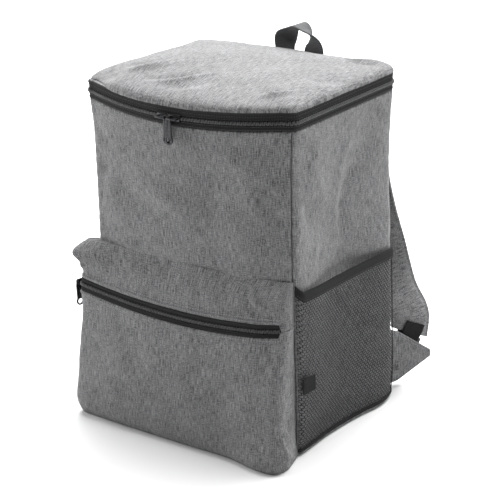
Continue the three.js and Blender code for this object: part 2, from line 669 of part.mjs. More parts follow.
function pocketPlaces(from, to) {
  const face = evenly(2, 3, 16).map((place) => 2 + THREE.MathUtils.smoothstep(place, 2, 3));
  const all = [0, 0.5, ...evenly(1, 2, 3), ...face.slice(1), ...evenly(3, 4, 3).slice(1), 4.5, 5];
  const margin = 0.008;
  return [from, ...all.filter((place) => place > from + margin && place < to - margin), to];
}

function addFrontPocket() {
  const share = (z) => z / POCKET_HEIGHT;
  const zipHalf = POCKET_COIL_HEIGHT / 2 + SEAM_GAP + POCKET_TAPE_HEIGHT + SEAM_GAP;
  const zipBottom = share(POCKET_ZIP_HEIGHT - zipHalf);
  const zipTop = share(POCKET_ZIP_HEIGHT + zipHalf);
  const cornerLength = (POCKET_CORNER_RADIUS * Math.PI) / 2;
  const zipEnd = 3 + POCKET_ZIP_WRAP / cornerLength;
  const width = pocketPlaces(0, 5);
  const lower = [-1, -0.5, 0, 0.04, 0.12, 0.22, 0.34, 0.46, 0.58, 0.66];
  const shell = (places, heights) => sheet(pocketPoint, places, heights, FABRIC);
  const gap = share(SEAM_GAP);
  const meeting = share(POCKET_ZIP_HEIGHT) - gap / 2;
  const past = pocketPlaces(zipEnd, 5);
  const face = shell(width, [...lower, zipBottom]);
  const beside = shell(past, [lower.at(-1), zipBottom, meeting]);
  add("pocket_front_panel", join(face, beside), "melange");

  const upper = evenly(zipTop, 1, 5);
  const top = shell(width, upper);
  const above = shell(past, [meeting + gap, zipTop, upper[1]]);
  add("pocket_top_panel", join(top, above), "melange");

  const zipPlaces = pocketPlaces(0, zipEnd - SEAM_GAP / cornerLength);
  const band = (bottom, height, proud, thickness) => {
    const point = (place, h, depth) => pocketOut(place, h, depth - proud);
    return sheet(point, zipPlaces, [share(bottom), share(bottom + height)], thickness);
  };
  const coilBase = POCKET_ZIP_HEIGHT - POCKET_COIL_HEIGHT / 2;
  const lowerBase = coilBase - SEAM_GAP - POCKET_TAPE_HEIGHT;
  const upperBase = coilBase + POCKET_COIL_HEIGHT + SEAM_GAP;
  const proud = COIL_THICKNESS / 2;
  add("pocket_zip_tape_lower", band(lowerBase, POCKET_TAPE_HEIGHT, 0, TAPE_THICKNESS), "black_trim");
  add("pocket_zip_coil", band(coilBase, POCKET_COIL_HEIGHT, proud, COIL_THICKNESS), "coil");
  add("pocket_zip_tape_upper", band(upperBase, POCKET_TAPE_HEIGHT, 0, TAPE_THICKNESS), "black_trim");

  const sliderPlace = 1.35;
  const middle = share(POCKET_ZIP_HEIGHT);
  const frame = zipFrame(pocketPoint(sliderPlace, middle, 0), pocketOutwards(sliderPlace, middle));
  addSlider("pocket_slider", "pocket_pull", frame, POCKET_COIL_HEIGHT, 1, 0, 1);
}

function pocketOutwards(place, height) {
  const step = 0.01;
  const along = pocketPoint(place + step, height, 0).sub(pocketPoint(place - step, height, 0));
  const up = pocketPoint(place, height + step, 0).sub(pocketPoint(place, height - step, 0));
  return along.cross(up).normalize();
}

// The pocket's surface moved straight out along its own direction.
function pocketOut(place, height, depth) {
  const inside = THREE.MathUtils.clamp(place, 0.02, 4.98);
  const point = pocketPoint(place, height, 0).addScaledVector(pocketOutwards(inside, height), -depth);
  return point.setY(Math.min(point.y, frontFace(point.x, point.z) - POCKET_GAP));
}

// Side nets: each lies on its side panel at its lower edge and stands off it higher up.
function netTop(place) {
  const along = (place - NET_START) / (NET_END - NET_START);
  return THREE.MathUtils.lerp(MESH_FRONT_HEIGHT, MESH_BACK_HEIGHT, meshEdgeAt.fall(along));
}

// Way runs from 0 at the lower edge to 1 at the net's upper edge.
function netPoint(place, way, depth, above = 0) {
  const height = THREE.MathUtils.lerp(MESH_FLOOR, netTop(place), way) + above;
  const free = THREE.MathUtils.smoothstep(height, MESH_FLOOR, MESH_FLOOR + MESH_CLOSING);
  const along = (place - NET_START) / (NET_END - NET_START);
  const ends = 1 - (2 * along - 1) ** 4;
  const proud = SEAM_GAP + MESH + MESH_STANDOFF * free * ends;
  return wallPoint(place, height, depth - proud, 1 - free);
}

function mirrored(geometry) {
  const copy = geometry.clone().scale(-1, 1, 1);
  const index = copy.index.array;
  for (let i = 0; i < index.length; i += 3) [index[i + 1], index[i + 2]] = [index[i + 2], index[i + 1]];
  copy.computeVertexNormals();
  return copy;
}

function addBothSides(name, geometry, material) {
  add(name + "_right", geometry, material);
  add(name + "_left", mirrored(geometry), material);
}

function addSidePockets() {
  const places = placesBetween(NET_START, NET_END, 0);
  const levels = [0, 0.07, 0.14, 0.22, 0.32, 0.5, 0.75, 1];
  addBothSides("mesh_pocket", sheet(netPoint, places, levels, MESH), "net");
  const proud = BINDING_THICKNESS - MESH;
  const bindingPoint = (place, height, depth) => netPoint(place, 1, depth - proud, height);
  const binding = sheet(bindingPoint, places, [SEAM_GAP, SEAM_GAP + BINDING_HEIGHT], BINDING_THICKNESS);
  addBothSides("mesh_binding", binding, "black_trim");
}

// A blank tag hangs out of the front seam, on the right net.
function addTag() {
  const sideLength = BODY_DEPTH - FRONT_CORNER_RADIUS - BACK_CORNER_RADIUS;
  const start = (NET_START + RIGHT) / 2;
  const places = evenly(start, RIGHT + TAG_WIDTH / sideLength, 4);
  const proud = SEAM_GAP + TAG_THICKNESS;
  const point = (place, height, depth) => {
    const way = (height - MESH_FLOOR) / (netTop(place) - MESH_FLOOR);
    return netPoint(place, way, depth - proud);
  };
  const heights = evenly(TAG_BASE, TAG_BASE + TAG_HEIGHT, 3);
  add("side_tag", sheet(point, places, heights, TAG_THICKNESS), "black_trim");
}

const BACK_FACE = BODY_DEPTH / 2 + SEAM_GAP;

// Carry handle: webbing whose feet lie flat on the back panel and whose loop turns edge on.
function addHandle() {
  const y = BACK_FACE + HANDLE_THICKNESS / 2;
  const half = HANDLE_SPREAD / 2;
  const foot = LID_SEAM_HEIGHT - HANDLE_FOOT;
  const top = LID_SEAM_HEIGHT + HANDLE_RISE;
  const bend = HANDLE_BEND * half;
  const shoulder = top - HANDLE_SHOULDER * half;
  const points = [
    [-half, foot],
    [-half, LID_SEAM_HEIGHT],
    [-half, top - half],
    [-bend, shoulder],
    [0, top],
    [bend, shoulder],
    [half, top - half],
    [half, LID_SEAM_HEIGHT],
    [half, foot],
  ];
  const path = points.map(([x, z]) => new THREE.Vector3(x + HANDLE_OFFSET, y, z));
  const curve = new THREE.CatmullRomCurve3(path, false, "centripetal");
  const across = (t) => {
    const rise = Math.min(t, 1 - t);
    const turn = (THREE.MathUtils.smoothstep(rise, HANDLE_FLAT, 0.5) * Math.PI) / 2;
    return new THREE.Vector3(Math.cos(turn) * Math.sign(0.5 - t || 1), Math.sin(turn), 0);
  };
  const section = () => flatSection(HANDLE_WIDTH, HANDLE_THICKNESS);
  add("carry_handle", sweep(stripStations(curve, HANDLE_STEPS, across, section)), "webbing");
}

// The wing's plane: from the back corner outwards along `out`, with `inner` towards the strap.
function wingPlane() {
  const middle = WING_FLOOR + WING_HEIGHT / 2;
  const plan = outline(WING_PLACE, middle);
  const away = outwards(WING_PLACE, middle);
  const out = new THREE.Vector3(away.x, away.y, 0);
  const start = new THREE.Vector3(plan.x, plan.y, 0).addScaledVector(out, SEAM_GAP + WING_THICKNESS / 2);
  return { start, out, inner: new THREE.Vector3(-away.y, away.x, 0) };
}

// Half the way across a bar of the ladder lock to the middle of the webbing round it.
function barReach() {
  return Math.hypot(BUCKLE_BAR, BUCKLE_THICKNESS) / 2 + SEAM_GAP + WEBBING_THICKNESS / 2;
}

// Where the middle of the link's arms and of the webbing on the wing lie from the strap's middle.
const LINK_SPREAD = STRAP_THICKNESS / 2 + LINK_CLEARANCE + WEBBING_THICKNESS / 2;
const WING_DISTANCE =
  Math.max(barReach(), LINK_SPREAD) + WEBBING_THICKNESS / 2 + SEAM_GAP + WING_THICKNESS / 2;

// The slanting lower end of the padded strap: `across` it, `up` the strap and `out` to the front.
function strapEnd() {
  const { start, out, inner } = wingPlane();
  const place = start.clone().addScaledVector(out, STRAP_BOTTOM_REACH).addScaledVector(inner, WING_DISTANCE);
  const tilt = THREE.MathUtils.degToRad(STRAP_TILT);
  const across = out.clone().multiplyScalar(Math.cos(tilt)).addScaledVector(UP, -Math.sin(tilt));
  const up = out.clone().multiplyScalar(Math.sin(tilt)).addScaledVector(UP, Math.cos(tilt));
  return { centre: place.setZ(STRAP_BOTTOM_HEIGHT), across, up, out: inner.clone().negate() };
}

function addStraps() {
  const end = strapEnd();
  const topHeight = LID_SEAM_HEIGHT - STRAP_TOP_DROP;
  const top = new THREE.Vector3(STRAP_TOP_OFFSET, BACK_FACE + STRAP_THICKNESS / 2, topHeight);
  const points = STRAP_STATIONS.map(({ way, down, out }) => {
    const { x, y } = top.clone().lerp(end.centre, way);
    return new THREE.Vector3(x, y + out * STRAP_BULGE, THREE.MathUtils.lerp(top.z, end.centre.z, down));
  });
  const curve = new THREE.CatmullRomCurve3(points, false, "centripetal");
  const last = STRAP_STATIONS.length - 1;
  const at = columns(STRAP_STATIONS.map((row, i) => ({ ...row, at: i / last })), "at");
  const fullTurn = Math.atan2(end.across.y, end.across.x);
  const across = (t) => {
    const turn = fullTurn * THREE.MathUtils.clamp(at.turn(t), 0, 1);
    return new THREE.Vector3(Math.cos(turn), Math.sin(turn), 0);
  };
  const section = (t) => {
    const narrowing = THREE.MathUtils.clamp(at.width(t), 0, 1);
    return paddedSection(THREE.MathUtils.lerp(STRAP_WIDTH, STRAP_END_WIDTH, narrowing), STRAP_THICKNESS);
  };
  const stations = stripStations(curve, STRAP_STEPS, across, section);
  const lastSection = stations.at(-1).section;
  stations[stations.length - 1] = { ...end, section: lastSection };
  addBothSides("shoulder_strap", sweep(stations), "melange");

  const frame = new THREE.Matrix4().makeBasis(end.across, end.up, end.out).setPosition(end.centre);
  addBothSides("strap_buckle", closedCopy(ladderLock(), frame), "buckle_plastic");
  addBothSides("strap_link", closedCopy(strapLink(), frame), "webbing");
  addBothSides("strap_webbing", closedCopy(lowerWebbing(), frame), "webbing");
  addWing();
}

const BUCKLE_TOP = -BUCKLE_MARGIN;
const BUCKLE_BOTTOM = BUCKLE_TOP - BUCKLE_HEIGHT;

// A frame with three bars, in the frame of the strap's end.
function ladderLock() {
  const half = BUCKLE_WIDTH / 2;
  const outer = new THREE.Shape();
  outer.moveTo(-half, BUCKLE_TOP).lineTo(-half, BUCKLE_BOTTOM);
  outer.lineTo(half, BUCKLE_BOTTOM).lineTo(half, BUCKLE_TOP).closePath();
  const slotHeight = (BUCKLE_HEIGHT - 3 * BUCKLE_BAR) / 2;
  const slotHalf = WEBBING_WIDTH / 2 + BUCKLE_CLEARANCE;
  for (const top of [BUCKLE_TOP - BUCKLE_BAR, BUCKLE_TOP - 2 * BUCKLE_BAR - slotHeight]) {
    const slot = new THREE.Path();
    slot.moveTo(-slotHalf, top).lineTo(slotHalf, top);
    slot.lineTo(slotHalf, top - slotHeight).lineTo(-slotHalf, top - slotHeight).closePath();
    outer.holes.push(slot);
  }
  const lock = new THREE.ExtrudeGeometry(outer, { depth: BUCKLE_THICKNESS, bevelEnabled: false });
  return lock.translate(0, 0, -BUCKLE_THICKNESS / 2);
}

function closedCopy(geometry, matrix) {
  const bare = new THREE.BufferGeometry();
  bare.setAttribute("position", geometry.getAttribute("position").clone());
  if (geometry.index) bare.setIndex(geometry.index);
  return mergeVertices(bare, 1e-3).applyMatrix4(matrix);
}

// Webbing along points of [height, out] pairs, flat across the strap's end.
function webbingStrip(points) {
  const path = points.map(([y, z]) => new THREE.Vector3(0, y, z));
  const curve = new THREE.CatmullRomCurve3(path, false, "centripetal");
  const across = () => new THREE.Vector3(1, 0, 0);
  const section = () => flatSection(WEBBING_WIDTH, WEBBING_THICKNESS);
  return sweep(stripStations(curve, WEBBING_STEPS, across, section));
}

// The half turn of webbing round a bar, from the side away from the wing to the wing's side.
function roundBar(bar, over) {
  return evenly(0, 1, 4).map((way) => {
    const turn = Math.PI * way;
    return [bar + over * barReach() * Math.sin(turn), -barReach() * Math.cos(turn)];
  });
}

// Webbing sewn to both faces of the padded strap, round the ladder lock's upper bar.
function strapLink() {
  const bar = BUCKLE_TOP - BUCKLE_BAR / 2;
  const arm = (side) => [[LINK_LENGTH, side * LINK_SPREAD], [2, side * LINK_SPREAD]];
  return webbingStrip([...arm(-1), ...roundBar(bar, -1), ...arm(1).reverse()]);
}

// Webbing from the wing up round the ladder lock's lower bar, with its free end hanging down.
function lowerWebbing() {
  const bar = BUCKLE_BOTTOM + BUCKLE_BAR / 2;
  const sewn = WING_FLOOR + WING_HEIGHT / 5 - STRAP_BOTTOM_HEIGHT;
  const wingReach = WING_DISTANCE - WING_THICKNESS / 2 - SEAM_GAP - WEBBING_THICKNESS / 2;
  const wingSide = [[sewn, wingReach], [(sewn + bar) / 2, wingReach]];
  const free = [[bar - WEBBING_TAIL / 2, -barReach()], [bar - WEBBING_TAIL, -barReach()]];
  return webbingStrip([...free.reverse(), ...roundBar(bar, 1), ...wingSide.reverse()]);
}

// A triangle of cloth sewn into the back corner.
function addWing() {
  const { start, out } = wingPlane();
  const tip = WING_FLOOR + WING_HEIGHT / 2 - WING_DROOP;
  const triangle = new THREE.Shape();
  triangle.moveTo(0, WING_FLOOR).lineTo(WING_REACH, tip - WING_TIP / 2);
  triangle.lineTo(WING_REACH, tip + WING_TIP / 2).lineTo(0, WING_FLOOR + WING_HEIGHT).closePath();
  const wing = new THREE.ExtrudeGeometry(triangle, { depth: WING_THICKNESS, bevelEnabled: false });
  wing.translate(0, 0, -WING_THICKNESS / 2);
  const placed = new THREE.Matrix4().makeBasis(out, UP, new THREE.Vector3().crossVectors(out, UP));
  addBothSides("strap_tab", closedCopy(wing, placed.setPosition(start)), "melange");
}

addBody();
addLid();
addMainZip();
addFrontPocket();
addSidePockets();
addTag();
addHandle();
addStraps();

export default bag;
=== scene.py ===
import math

import bmesh
import bpy
import numpy as np
from mathutils import Matrix, Vector, noise


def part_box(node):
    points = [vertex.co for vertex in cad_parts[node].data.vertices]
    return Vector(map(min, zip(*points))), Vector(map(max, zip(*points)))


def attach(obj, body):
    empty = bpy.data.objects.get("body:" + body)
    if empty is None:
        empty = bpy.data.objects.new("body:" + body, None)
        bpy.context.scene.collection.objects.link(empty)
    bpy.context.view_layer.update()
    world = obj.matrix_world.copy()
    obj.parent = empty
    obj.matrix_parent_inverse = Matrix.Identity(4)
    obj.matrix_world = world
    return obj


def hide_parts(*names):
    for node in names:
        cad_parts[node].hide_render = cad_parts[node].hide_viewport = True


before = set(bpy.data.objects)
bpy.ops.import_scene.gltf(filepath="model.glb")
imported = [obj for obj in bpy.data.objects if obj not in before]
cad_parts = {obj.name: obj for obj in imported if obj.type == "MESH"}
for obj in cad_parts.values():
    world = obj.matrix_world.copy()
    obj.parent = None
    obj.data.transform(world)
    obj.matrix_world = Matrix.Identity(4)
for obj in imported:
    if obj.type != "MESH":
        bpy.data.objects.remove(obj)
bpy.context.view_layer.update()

bl_info = {
    "name": "Cooler backpack",
    "version": (1, 0, 0),
    "blender": (4, 5, 0),
    "location": "3D View > Sidebar > Backpack",
    "description": "Padded cooler backpack with zips, mesh pockets, handle and shoulder straps",
    "category": "Object",
}

MM = 0.001

# Spacing of the grids, in metres
PANEL_GRID = 0.0034
BASE_GRID = 0.004
LID_GRID = 0.0032
ZIP_GRID = 0.0028
BINDING_GRID = 0.0026
NET_GRID = 0.002

# Small pieces, in metres
BINDING_HEIGHT = 0.0115
BINDING_THICKNESS = 0.0024
TAG_WIDTH = 0.014
TAG_THICKNESS = 0.0008
HANDLE_OFFSET = 0.006
STRAP_TOP_OFFSET = 0.074
STRAP_TOP_DROP = 0.01
WEBBING_TAIL = 0.028
LOCK_HEIGHT = 0.027
LOCK_THICKNESS = 0.0032
LOCK_BAR = 0.004
WING_REACH = 0.051
WING_HALF_SEAM = 0.036
WING_TIP = 0.008
WING_DROOP = 0.005
WING_THICKNESS = 0.0025
WING_CHANNEL = 0.004  # its stitched channel, from its edges
WING_SUNK = 0.0008  # how far its seam edge lies under the bag's face

BACK_LOW, BACK_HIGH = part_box("back_panel")
RIM_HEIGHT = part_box("side_panel_right")[1].z
LID_SEAM = BACK_HIGH.z + 0.3 * MM
SEAM_GAP = 0.3 * MM

# Places round the bag's outline: a whole number starts each stretch, anticlockwise from above.
ROUND = 8
FRONT_LEFT_SEAM = -0.5
FRONT_RIGHT_SEAM = 1.5
NET_START = 1.62
NET_END = 3.3
WING_PLACE = 3.65
BACK_RIGHT_SEAM = 4
BACK_LEFT_SEAM = 5


def named_rows(columns, *values):
    """A table of rows, each a dictionary with the named columns."""
    return [dict(zip(columns.split(), row)) for row in values]


# Sections of the box: height is a share of the rim's, width and depth of the box's, bow of the
# front's bow and valley of the side fold's depth.
BODY_LEVELS = named_rows(
    "height width depth bow valley",
    (0.0, 0.975, 0.98, 0.12, 0.1),
    (0.07, 0.99, 0.995, 0.2, 0.45),
    (0.25, 0.995, 1.0, 0.3, 0.85),
    (0.45, 0.985, 1.0, 0.38, 1.0),
    (0.62, 0.98, 0.995, 0.48, 0.95),
    (0.8, 0.98, 0.99, 0.66, 0.6),
    (0.93, 0.985, 0.99, 0.86, 0.22),
    (1.0, 1.0, 1.0, 1.0, 0.0),
)

# Lid from its seam to its middle: reach is the share of the way out, rise the share of the dome.
LID_RINGS = named_rows(
    "ring reach rise",
    (0.0, 1.0, 0.0),
    (0.14, 1.0, 0.2),
    (0.28, 0.975, 0.4),
    (0.45, 0.88, 0.6),
    (0.65, 0.66, 0.8),
    (0.85, 0.34, 0.95),
    (1.0, 0.0, 1.0),
)

# Front pocket from its lower edge to its seam: shares of its height, depth and flare.
POCKET_LEVELS = named_rows(
    "height depth flare",
    (0.0, 0.92, 0.95),
    (0.04, 1.0, 1.0),
    (0.2, 0.98, 0.62),
    (0.4, 0.84, 0.45),
    (0.6, 0.66, 0.42),
    (0.74, 0.51, 0.42),
    (0.82, 0.4, 0.4),
    (0.92, 0.24, 0.25),
    (1.0, 0.0, 0.0),
)

# Puffs of the front pocket: across and height are shares of its half width and height, out of its
# depth and side of its flare, wide and tall say how far each one spreads.
POCKET_FOLDS = named_rows(
    "across height out side wide tall",
    (-1.0, 0.94, 0.42, -1.5, 0.22, 0.065),
    (-1.0, 0.8, 0.0, -0.75, 0.3, 0.14),
    (-1.0, 0.4, 0.0, -0.75, 0.4, 0.55),
    (0.85, 0.03, 0.24, 0.1, 0.22, 0.1),
    (0.93, 0.72, -0.12, 0.0, 0.12, 0.14),
    (0.5, 0.34, -0.05, 0.0, 0.16, 0.3),
    (-0.55, 0.5, 0.05, 0.0, 0.3, 0.25),
)

# Where the sides stand out at the floor: back is the distance behind the middle in millimetres.
FOOT_BULGE = named_rows(
    "back share",
    (-40, 0.0),
    (-1, 0.3),
    (27, 0.62),
    (57, 1.0),
    (75, 0.75),
    (95, 0.0),
)
FOOT_HEIGHT = 70 * MM

# Upper edge of the side nets, as the share of its fall from the front seam to the back.
NET_EDGE = named_rows(
    "along fall",
    (0.0, 0.0),
    (0.25, 0.47),
    (0.5, 0.68),
    (0.75, 0.8),
    (1.0, 1.0),
)

# Right shoulder strap: shares of the way across, down, out, of its narrowing and of its turn.
STRAP_STATIONS = named_rows(
    "at way down out width turn",
    (0.0, 0.0, 0.0, 0.0, 0.0, 0.0),
    (1.0, 0.01, 0.1, 0.02, 0.0, 0.0),
    (2.0, 0.08, 0.25, 0.4, 0.02, 0.0),
    (3.0, 0.17, 0.44, 0.7, 0.15, 0.06),
    (4.0, 0.36, 0.64, 0.85, 0.5, 0.26),
    (5.0, 0.68, 0.82, 0.45, 0.85, 0.68),
    (6.0, 1.0, 0.93, 0.0, 1.0, 1.0),
    (7.0, 1.0, 1.0, 0.0, 1.0, 1.0),
)

# Creases: start and end are places in the piece's own two coordinates, rise is how far the crease
# stands out and wide how far it spreads, all in millimetres.
LID_CREASES = named_rows(
    "start end rise wide",
    ((-152, -118), (-94, -70), -6.0, 20),
    ((-98, -70), (-70, -26), -3.1, 7),
    ((-88, -82), (-62, -40), 3.4, 6),
    ((-60, -92), (-8, -44), -2.5, 6),
    ((-48, -94), (6, -52), 3.1, 5),
    ((-24, -100), (24, -66), -1.4, 6),
    ((84, -88), (112, -62), 3.4, 4),
    ((78, -82), (106, -54), -1.9, 5),
    ((98, -30), (122, 4), -1.2, 6),
    ((96, 58), (126, 84), -1.6, 4),
    ((88, 66), (118, 94), 2.2, 4),
    ((-120, 20), (-96, 64), -1.3, 7),
)
FRONT_CREASES = named_rows(
    "start end rise wide",
    ((-131, 300), (-112, 318), 3.3, 9),
    ((-128, 268), (-104, 292), -2.4, 9),
    ((-60, 330), (-70, 220), -1.4, 13),
    ((-10, 338), (-22, 230), 1.2, 14),
    ((48, 320), (58, 215), -1.2, 12),
    ((92, 340), (98, 250), 1.4, 10),
)
SIDE_CREASES = named_rows(
    "start end rise wide",
    ((14, 330), (44, 235), -2.2, 11),
    ((40, 345), (62, 262), 2.4, 9),
    ((112, 322), (98, 214), 2.6, 8),
    ((128, 300), (110, 196), -2.7, 9),
    ((158, 345), (176, 320), -2.1, 6),
    ((30, 195), (50, 232), 1.9, 7),
)
POCKET_CREASES = named_rows(
    "start end rise wide",
    ((-150, 171), (-98, 179), 3.5, 4),
    ((-140, 186), (-108, 168), -2.2, 7),
    ((82, 176), (124, 158), -3.2, 4),
    ((86, 184), (122, 168), 2.4, 4),
    ((102, 120), (122, 140), -1.9, 6),
    ((118, 60), (122, 8), -2.4, 6),
    ((138, 46), (146, 8), 4.1, 4),
    ((150, 50), (141, 20), -4.3, 4),
    ((-60, 130), (-20, 70), -1.8, 15),
    ((-96, 60), (-40, 26), 1.8, 14),
    ((20, 110), (70, 60), -1.4, 16),
    ((-20, 182), (10, 160), -1.2, 9),
    ((40, 178), (64, 158), 1.2, 9),
)

NO_CREASES = []


def length(name, description, default):
    return bpy.props.FloatProperty(
        name=name, description=description, default=default, unit="LENGTH")


def angle(name, description, default):
    return bpy.props.FloatProperty(
        name=name, description=description, default=default, unit="ROTATION")


def colour(name, description, default):
    return bpy.props.FloatVectorProperty(
        name=name, description=description, default=default, subtype="COLOR")


class BagSizes(bpy.types.PropertyGroup):
    """Sizes of the padded box, its lid and the side nets."""

    width: length("Width", "Box from side to side", 0.264)
    depth: length("Depth", "Box from front corners to back", 0.2)
    wall: length("Wall", "Thickness of the padded panels", 0.005)
    bow: length("Bow", "How far the front rim stands out", 0.02)
    rim_sag: length("Rim sag", "How far the front rim hangs down", 0.006)
    valley: length("Side fold", "Depth of the fold down each side", 0.011)
    front_radius: length("Front corners", "Radius in plan", 0.012)
    back_radius: length("Back corners", "Radius in plan", 0.015)
    dome: length("Lid dome", "Rise of the lid over its seam", 0.021)
    lid_wall: length("Lid wall", "Thickness of the padded lid", 0.006)
    seam_roll: length("Seam roll", "Radius of a panel's edge at a seam", 0.0026)
    net_cell: length("Net cell", "Pitch of the net's holes", 0.0048)
    foot_bulge: length("Foot bulge", "How far the back of each side stands out at the floor", 0.01)
    net_front: length("Net front", "Height of the net's edge by the front seam", 0.181)
    net_back: length("Net back", "Height of the net's edge by the back", 0.163)


class ZipSizes(bpy.types.PropertyGroup):
    """Sizes of both zips."""

    tape: length("Tape", "Height of each tape of the main zip", 0.0055)
    tape_thickness: length("Tape thickness", "Thickness of the tapes", 0.0012)
    coil: length("Coil", "Height of the main zip's coil", 0.0044)
    coil_thickness: length("Coil thickness", "Thickness of the coils", 0.0024)
    roll: length("Roll", "Height of the bound roll over the main zip", 0.0032)
    tooth: length("Tooth pitch", "From tooth to tooth along the coil", 0.002)
    pocket_tape: length("Pocket tape", "Height of each tape of the pocket zip", 0.004)
    pocket_coil: length("Pocket coil", "Height of the pocket zip's coil", 0.0042)


class PocketSizes(bpy.types.PropertyGroup):
    """Sizes of the front pocket."""

    width: length("Width", "Where it is sewn on", 0.254)
    height: length("Height", "Its seam over the floor", 0.196)
    floor: length("Floor", "Its lower face over the floor", 0.0006)
    depth: length("Depth", "How far it stands out", 0.039)
    flare: length("Flare", "How far its corners spread", 0.012)
    corner: length("Corner", "Radius of its upright corners", 0.012)
    fabric: length("Fabric", "Thickness of its cloth", 0.0015)
    zip_height: length("Zip height", "Middle of the zip at its ends", 0.149)
    zip_sag: length("Zip sag", "How far the zip hangs in the middle", 0.008)
    zip_wrap: length("Zip wrap", "How far the zip runs round the right corner", 0.005)


class StrapSizes(bpy.types.PropertyGroup):
    """Sizes of the handle, the shoulder straps and what they hang on."""

    webbing: length("Webbing", "Width of the webbing", 0.025)
    webbing_thickness: length("Webbing thickness", "Under the ladder locks", 0.0015)
    handle_thickness: length("Handle thickness", "Webbing of the handle", 0.0024)
    handle_spread: length("Handle spread", "Between the middles of its feet", 0.037)
    handle_rise: length("Handle rise", "Top of the loop over the seam", 0.037)
    strap: length("Strap", "Width of the padded strap", 0.058)
    strap_end: length("Strap end", "Width of its lower end", 0.05)
    strap_thickness: length("Strap padding", "Thickness of the padded strap", 0.008)
    strap_bulge: length("Strap bulge", "How far its middle stands off", 0.016)
    end_height: length("End height", "Middle of the strap's lower end over the floor", 0.062)
    end_reach: length("End reach", "Its middle from the back corner, along the wing", 0.028)
    end_tilt: angle("End tilt", "How far the end slants down away from the bag", math.radians(24))
    link_clearance: length("Link clearance", "Between the strap's faces and the link", 0.001)
    link_length: length("Link length", "Webbing sewn to both faces of the strap's end", 0.013)
    lock_margin: length("Lock margin", "From the strap's end to the ladder lock", 0.004)


class ClothColours(bpy.types.PropertyGroup):
    """Colours of the cloths and hard parts, linear."""

    light_yarn: colour("Light yarn", "Light yarn of the melange cloth", (0.25, 0.2505, 0.254))
    dark_yarn: colour("Dark yarn", "Dark yarn of the melange cloth", (0.036, 0.036, 0.037))
    trim: colour("Trim", "Black binding and zip tape", (0.016, 0.016, 0.0165))
    coil: colour("Coil", "Nylon of the zip coils", (0.026, 0.026, 0.027))
    net: colour("Net", "Yarn of the nets", (0.017, 0.017, 0.0175))
    webbing: colour("Webbing", "Handle and strap webbing", (0.085, 0.086, 0.088))
    metal: colour("Metal", "Dark nickel of sliders and pulls", (0.06, 0.0605, 0.063))
    plastic: colour("Plastic", "Moulded ladder locks", (0.012, 0.012, 0.0125))


def bag():
    return bpy.context.scene.backpack_bag


def zips():
    return bpy.context.scene.backpack_zips


def pocket():
    return bpy.context.scene.backpack_pocket


def straps():
    return bpy.context.scene.backpack_straps


def colours():
    return bpy.context.scene.backpack_colours


def smooth_column(rows, argument, value):
    """A smooth curve through one column of a table, with another as its argument."""
    xs = np.array([row[argument] for row in rows], float)
    ys = np.array([row[value] for row in rows], float)
    slopes = np.gradient(ys, xs)

    def at(t):
        t = np.clip(t, xs[0], xs[-1])
        i = np.clip(np.searchsorted(xs, t, side="right") - 1, 0, len(xs) - 2)
        h = xs[i + 1] - xs[i]
        s = (t - xs[i]) / h
        start = (1 + 2 * s) * (1 - s) ** 2 * ys[i] + s * (1 - s) ** 2 * h * slopes[i]
        end = s**2 * (3 - 2 * s) * ys[i + 1] + s**2 * (s - 1) * h * slopes[i + 1]
        return start + end

    return at


def table(rows, argument):
    return {name: smooth_column(rows, argument, name) for name in rows[0] if name != argument}


BODY_AT = table(BODY_LEVELS, "height")
LID_AT = table(LID_RINGS, "ring")
POCKET_AT = table(POCKET_LEVELS, "height")
NET_AT = table(NET_EDGE, "along")
FOOT_AT = table(FOOT_BULGE, "back")
STRAP_AT = table(STRAP_STATIONS, "at")


def ease(value, low, high):
    """0 below low, 1 above high and smooth in between."""
    t = np.clip((value - low) / (high - low), 0, 1)
    return t * t * (3 - 2 * t)


def lerp(a, b, t):
    return a + (b - a) * t


def unit(vectors):
    return vectors / np.maximum(np.linalg.norm(vectors, axis=-1, keepdims=True), 1e-12)


def outline(place, height, valley=1.0):
    """Plan point of the bag's outer face, as arrays of x and y."""
    size = bag()
    place = np.mod(place, ROUND)
    mirrored = place > 5
    place = np.where(mirrored, np.mod(9 - place, ROUND), place)
    share = height / RIM_HEIGHT
    half_width = BODY_AT["width"](share) * size.width / 2
    half_depth = BODY_AT["depth"](share) * size.depth / 2
    bow = BODY_AT["bow"](share) * size.bow
    fold = BODY_AT["valley"](share) * size.valley * valley
    front, back = size.front_radius, size.back_radius
    stretch = np.floor(place)
    way = place - stretch
    turn = way * math.pi / 2
    across = 2 * way - 1
    cases = [stretch == 0, stretch == 1, stretch == 2, stretch == 3]
    x = np.select(cases, [
        across * (half_width - front),
        half_width - front + front * np.sin(turn),
        half_width - fold * np.sin(math.pi * way) ** 2,
        half_width - back + back * np.cos(turn),
    ], (half_width - back) * (1 - 2 * way))
    y = np.select(cases, [
        -half_depth - bow * (1 - across**2),
        front - half_depth - front * np.cos(turn),
        lerp(front - half_depth, half_depth - back, way),
        half_depth - back + back * np.sin(turn),
    ], half_depth + 0 * way)
    foot = size.foot_bulge * FOOT_AT["share"](y / MM) * (1 - ease(height, 0.0, FOOT_HEIGHT))
    x = x + np.where((stretch == 2) | (stretch == 3), foot, 0)
    return np.where(mirrored, -x, x), y


def outwards(place, height, valley=1.0):
    reach = 0.02
    x1, y1 = outline(place + reach, height, valley)
    x0, y0 = outline(place - reach, height, valley)
    along = unit(np.stack([x1 - x0, y1 - y0], -1))
    return along[..., 1], -along[..., 0]


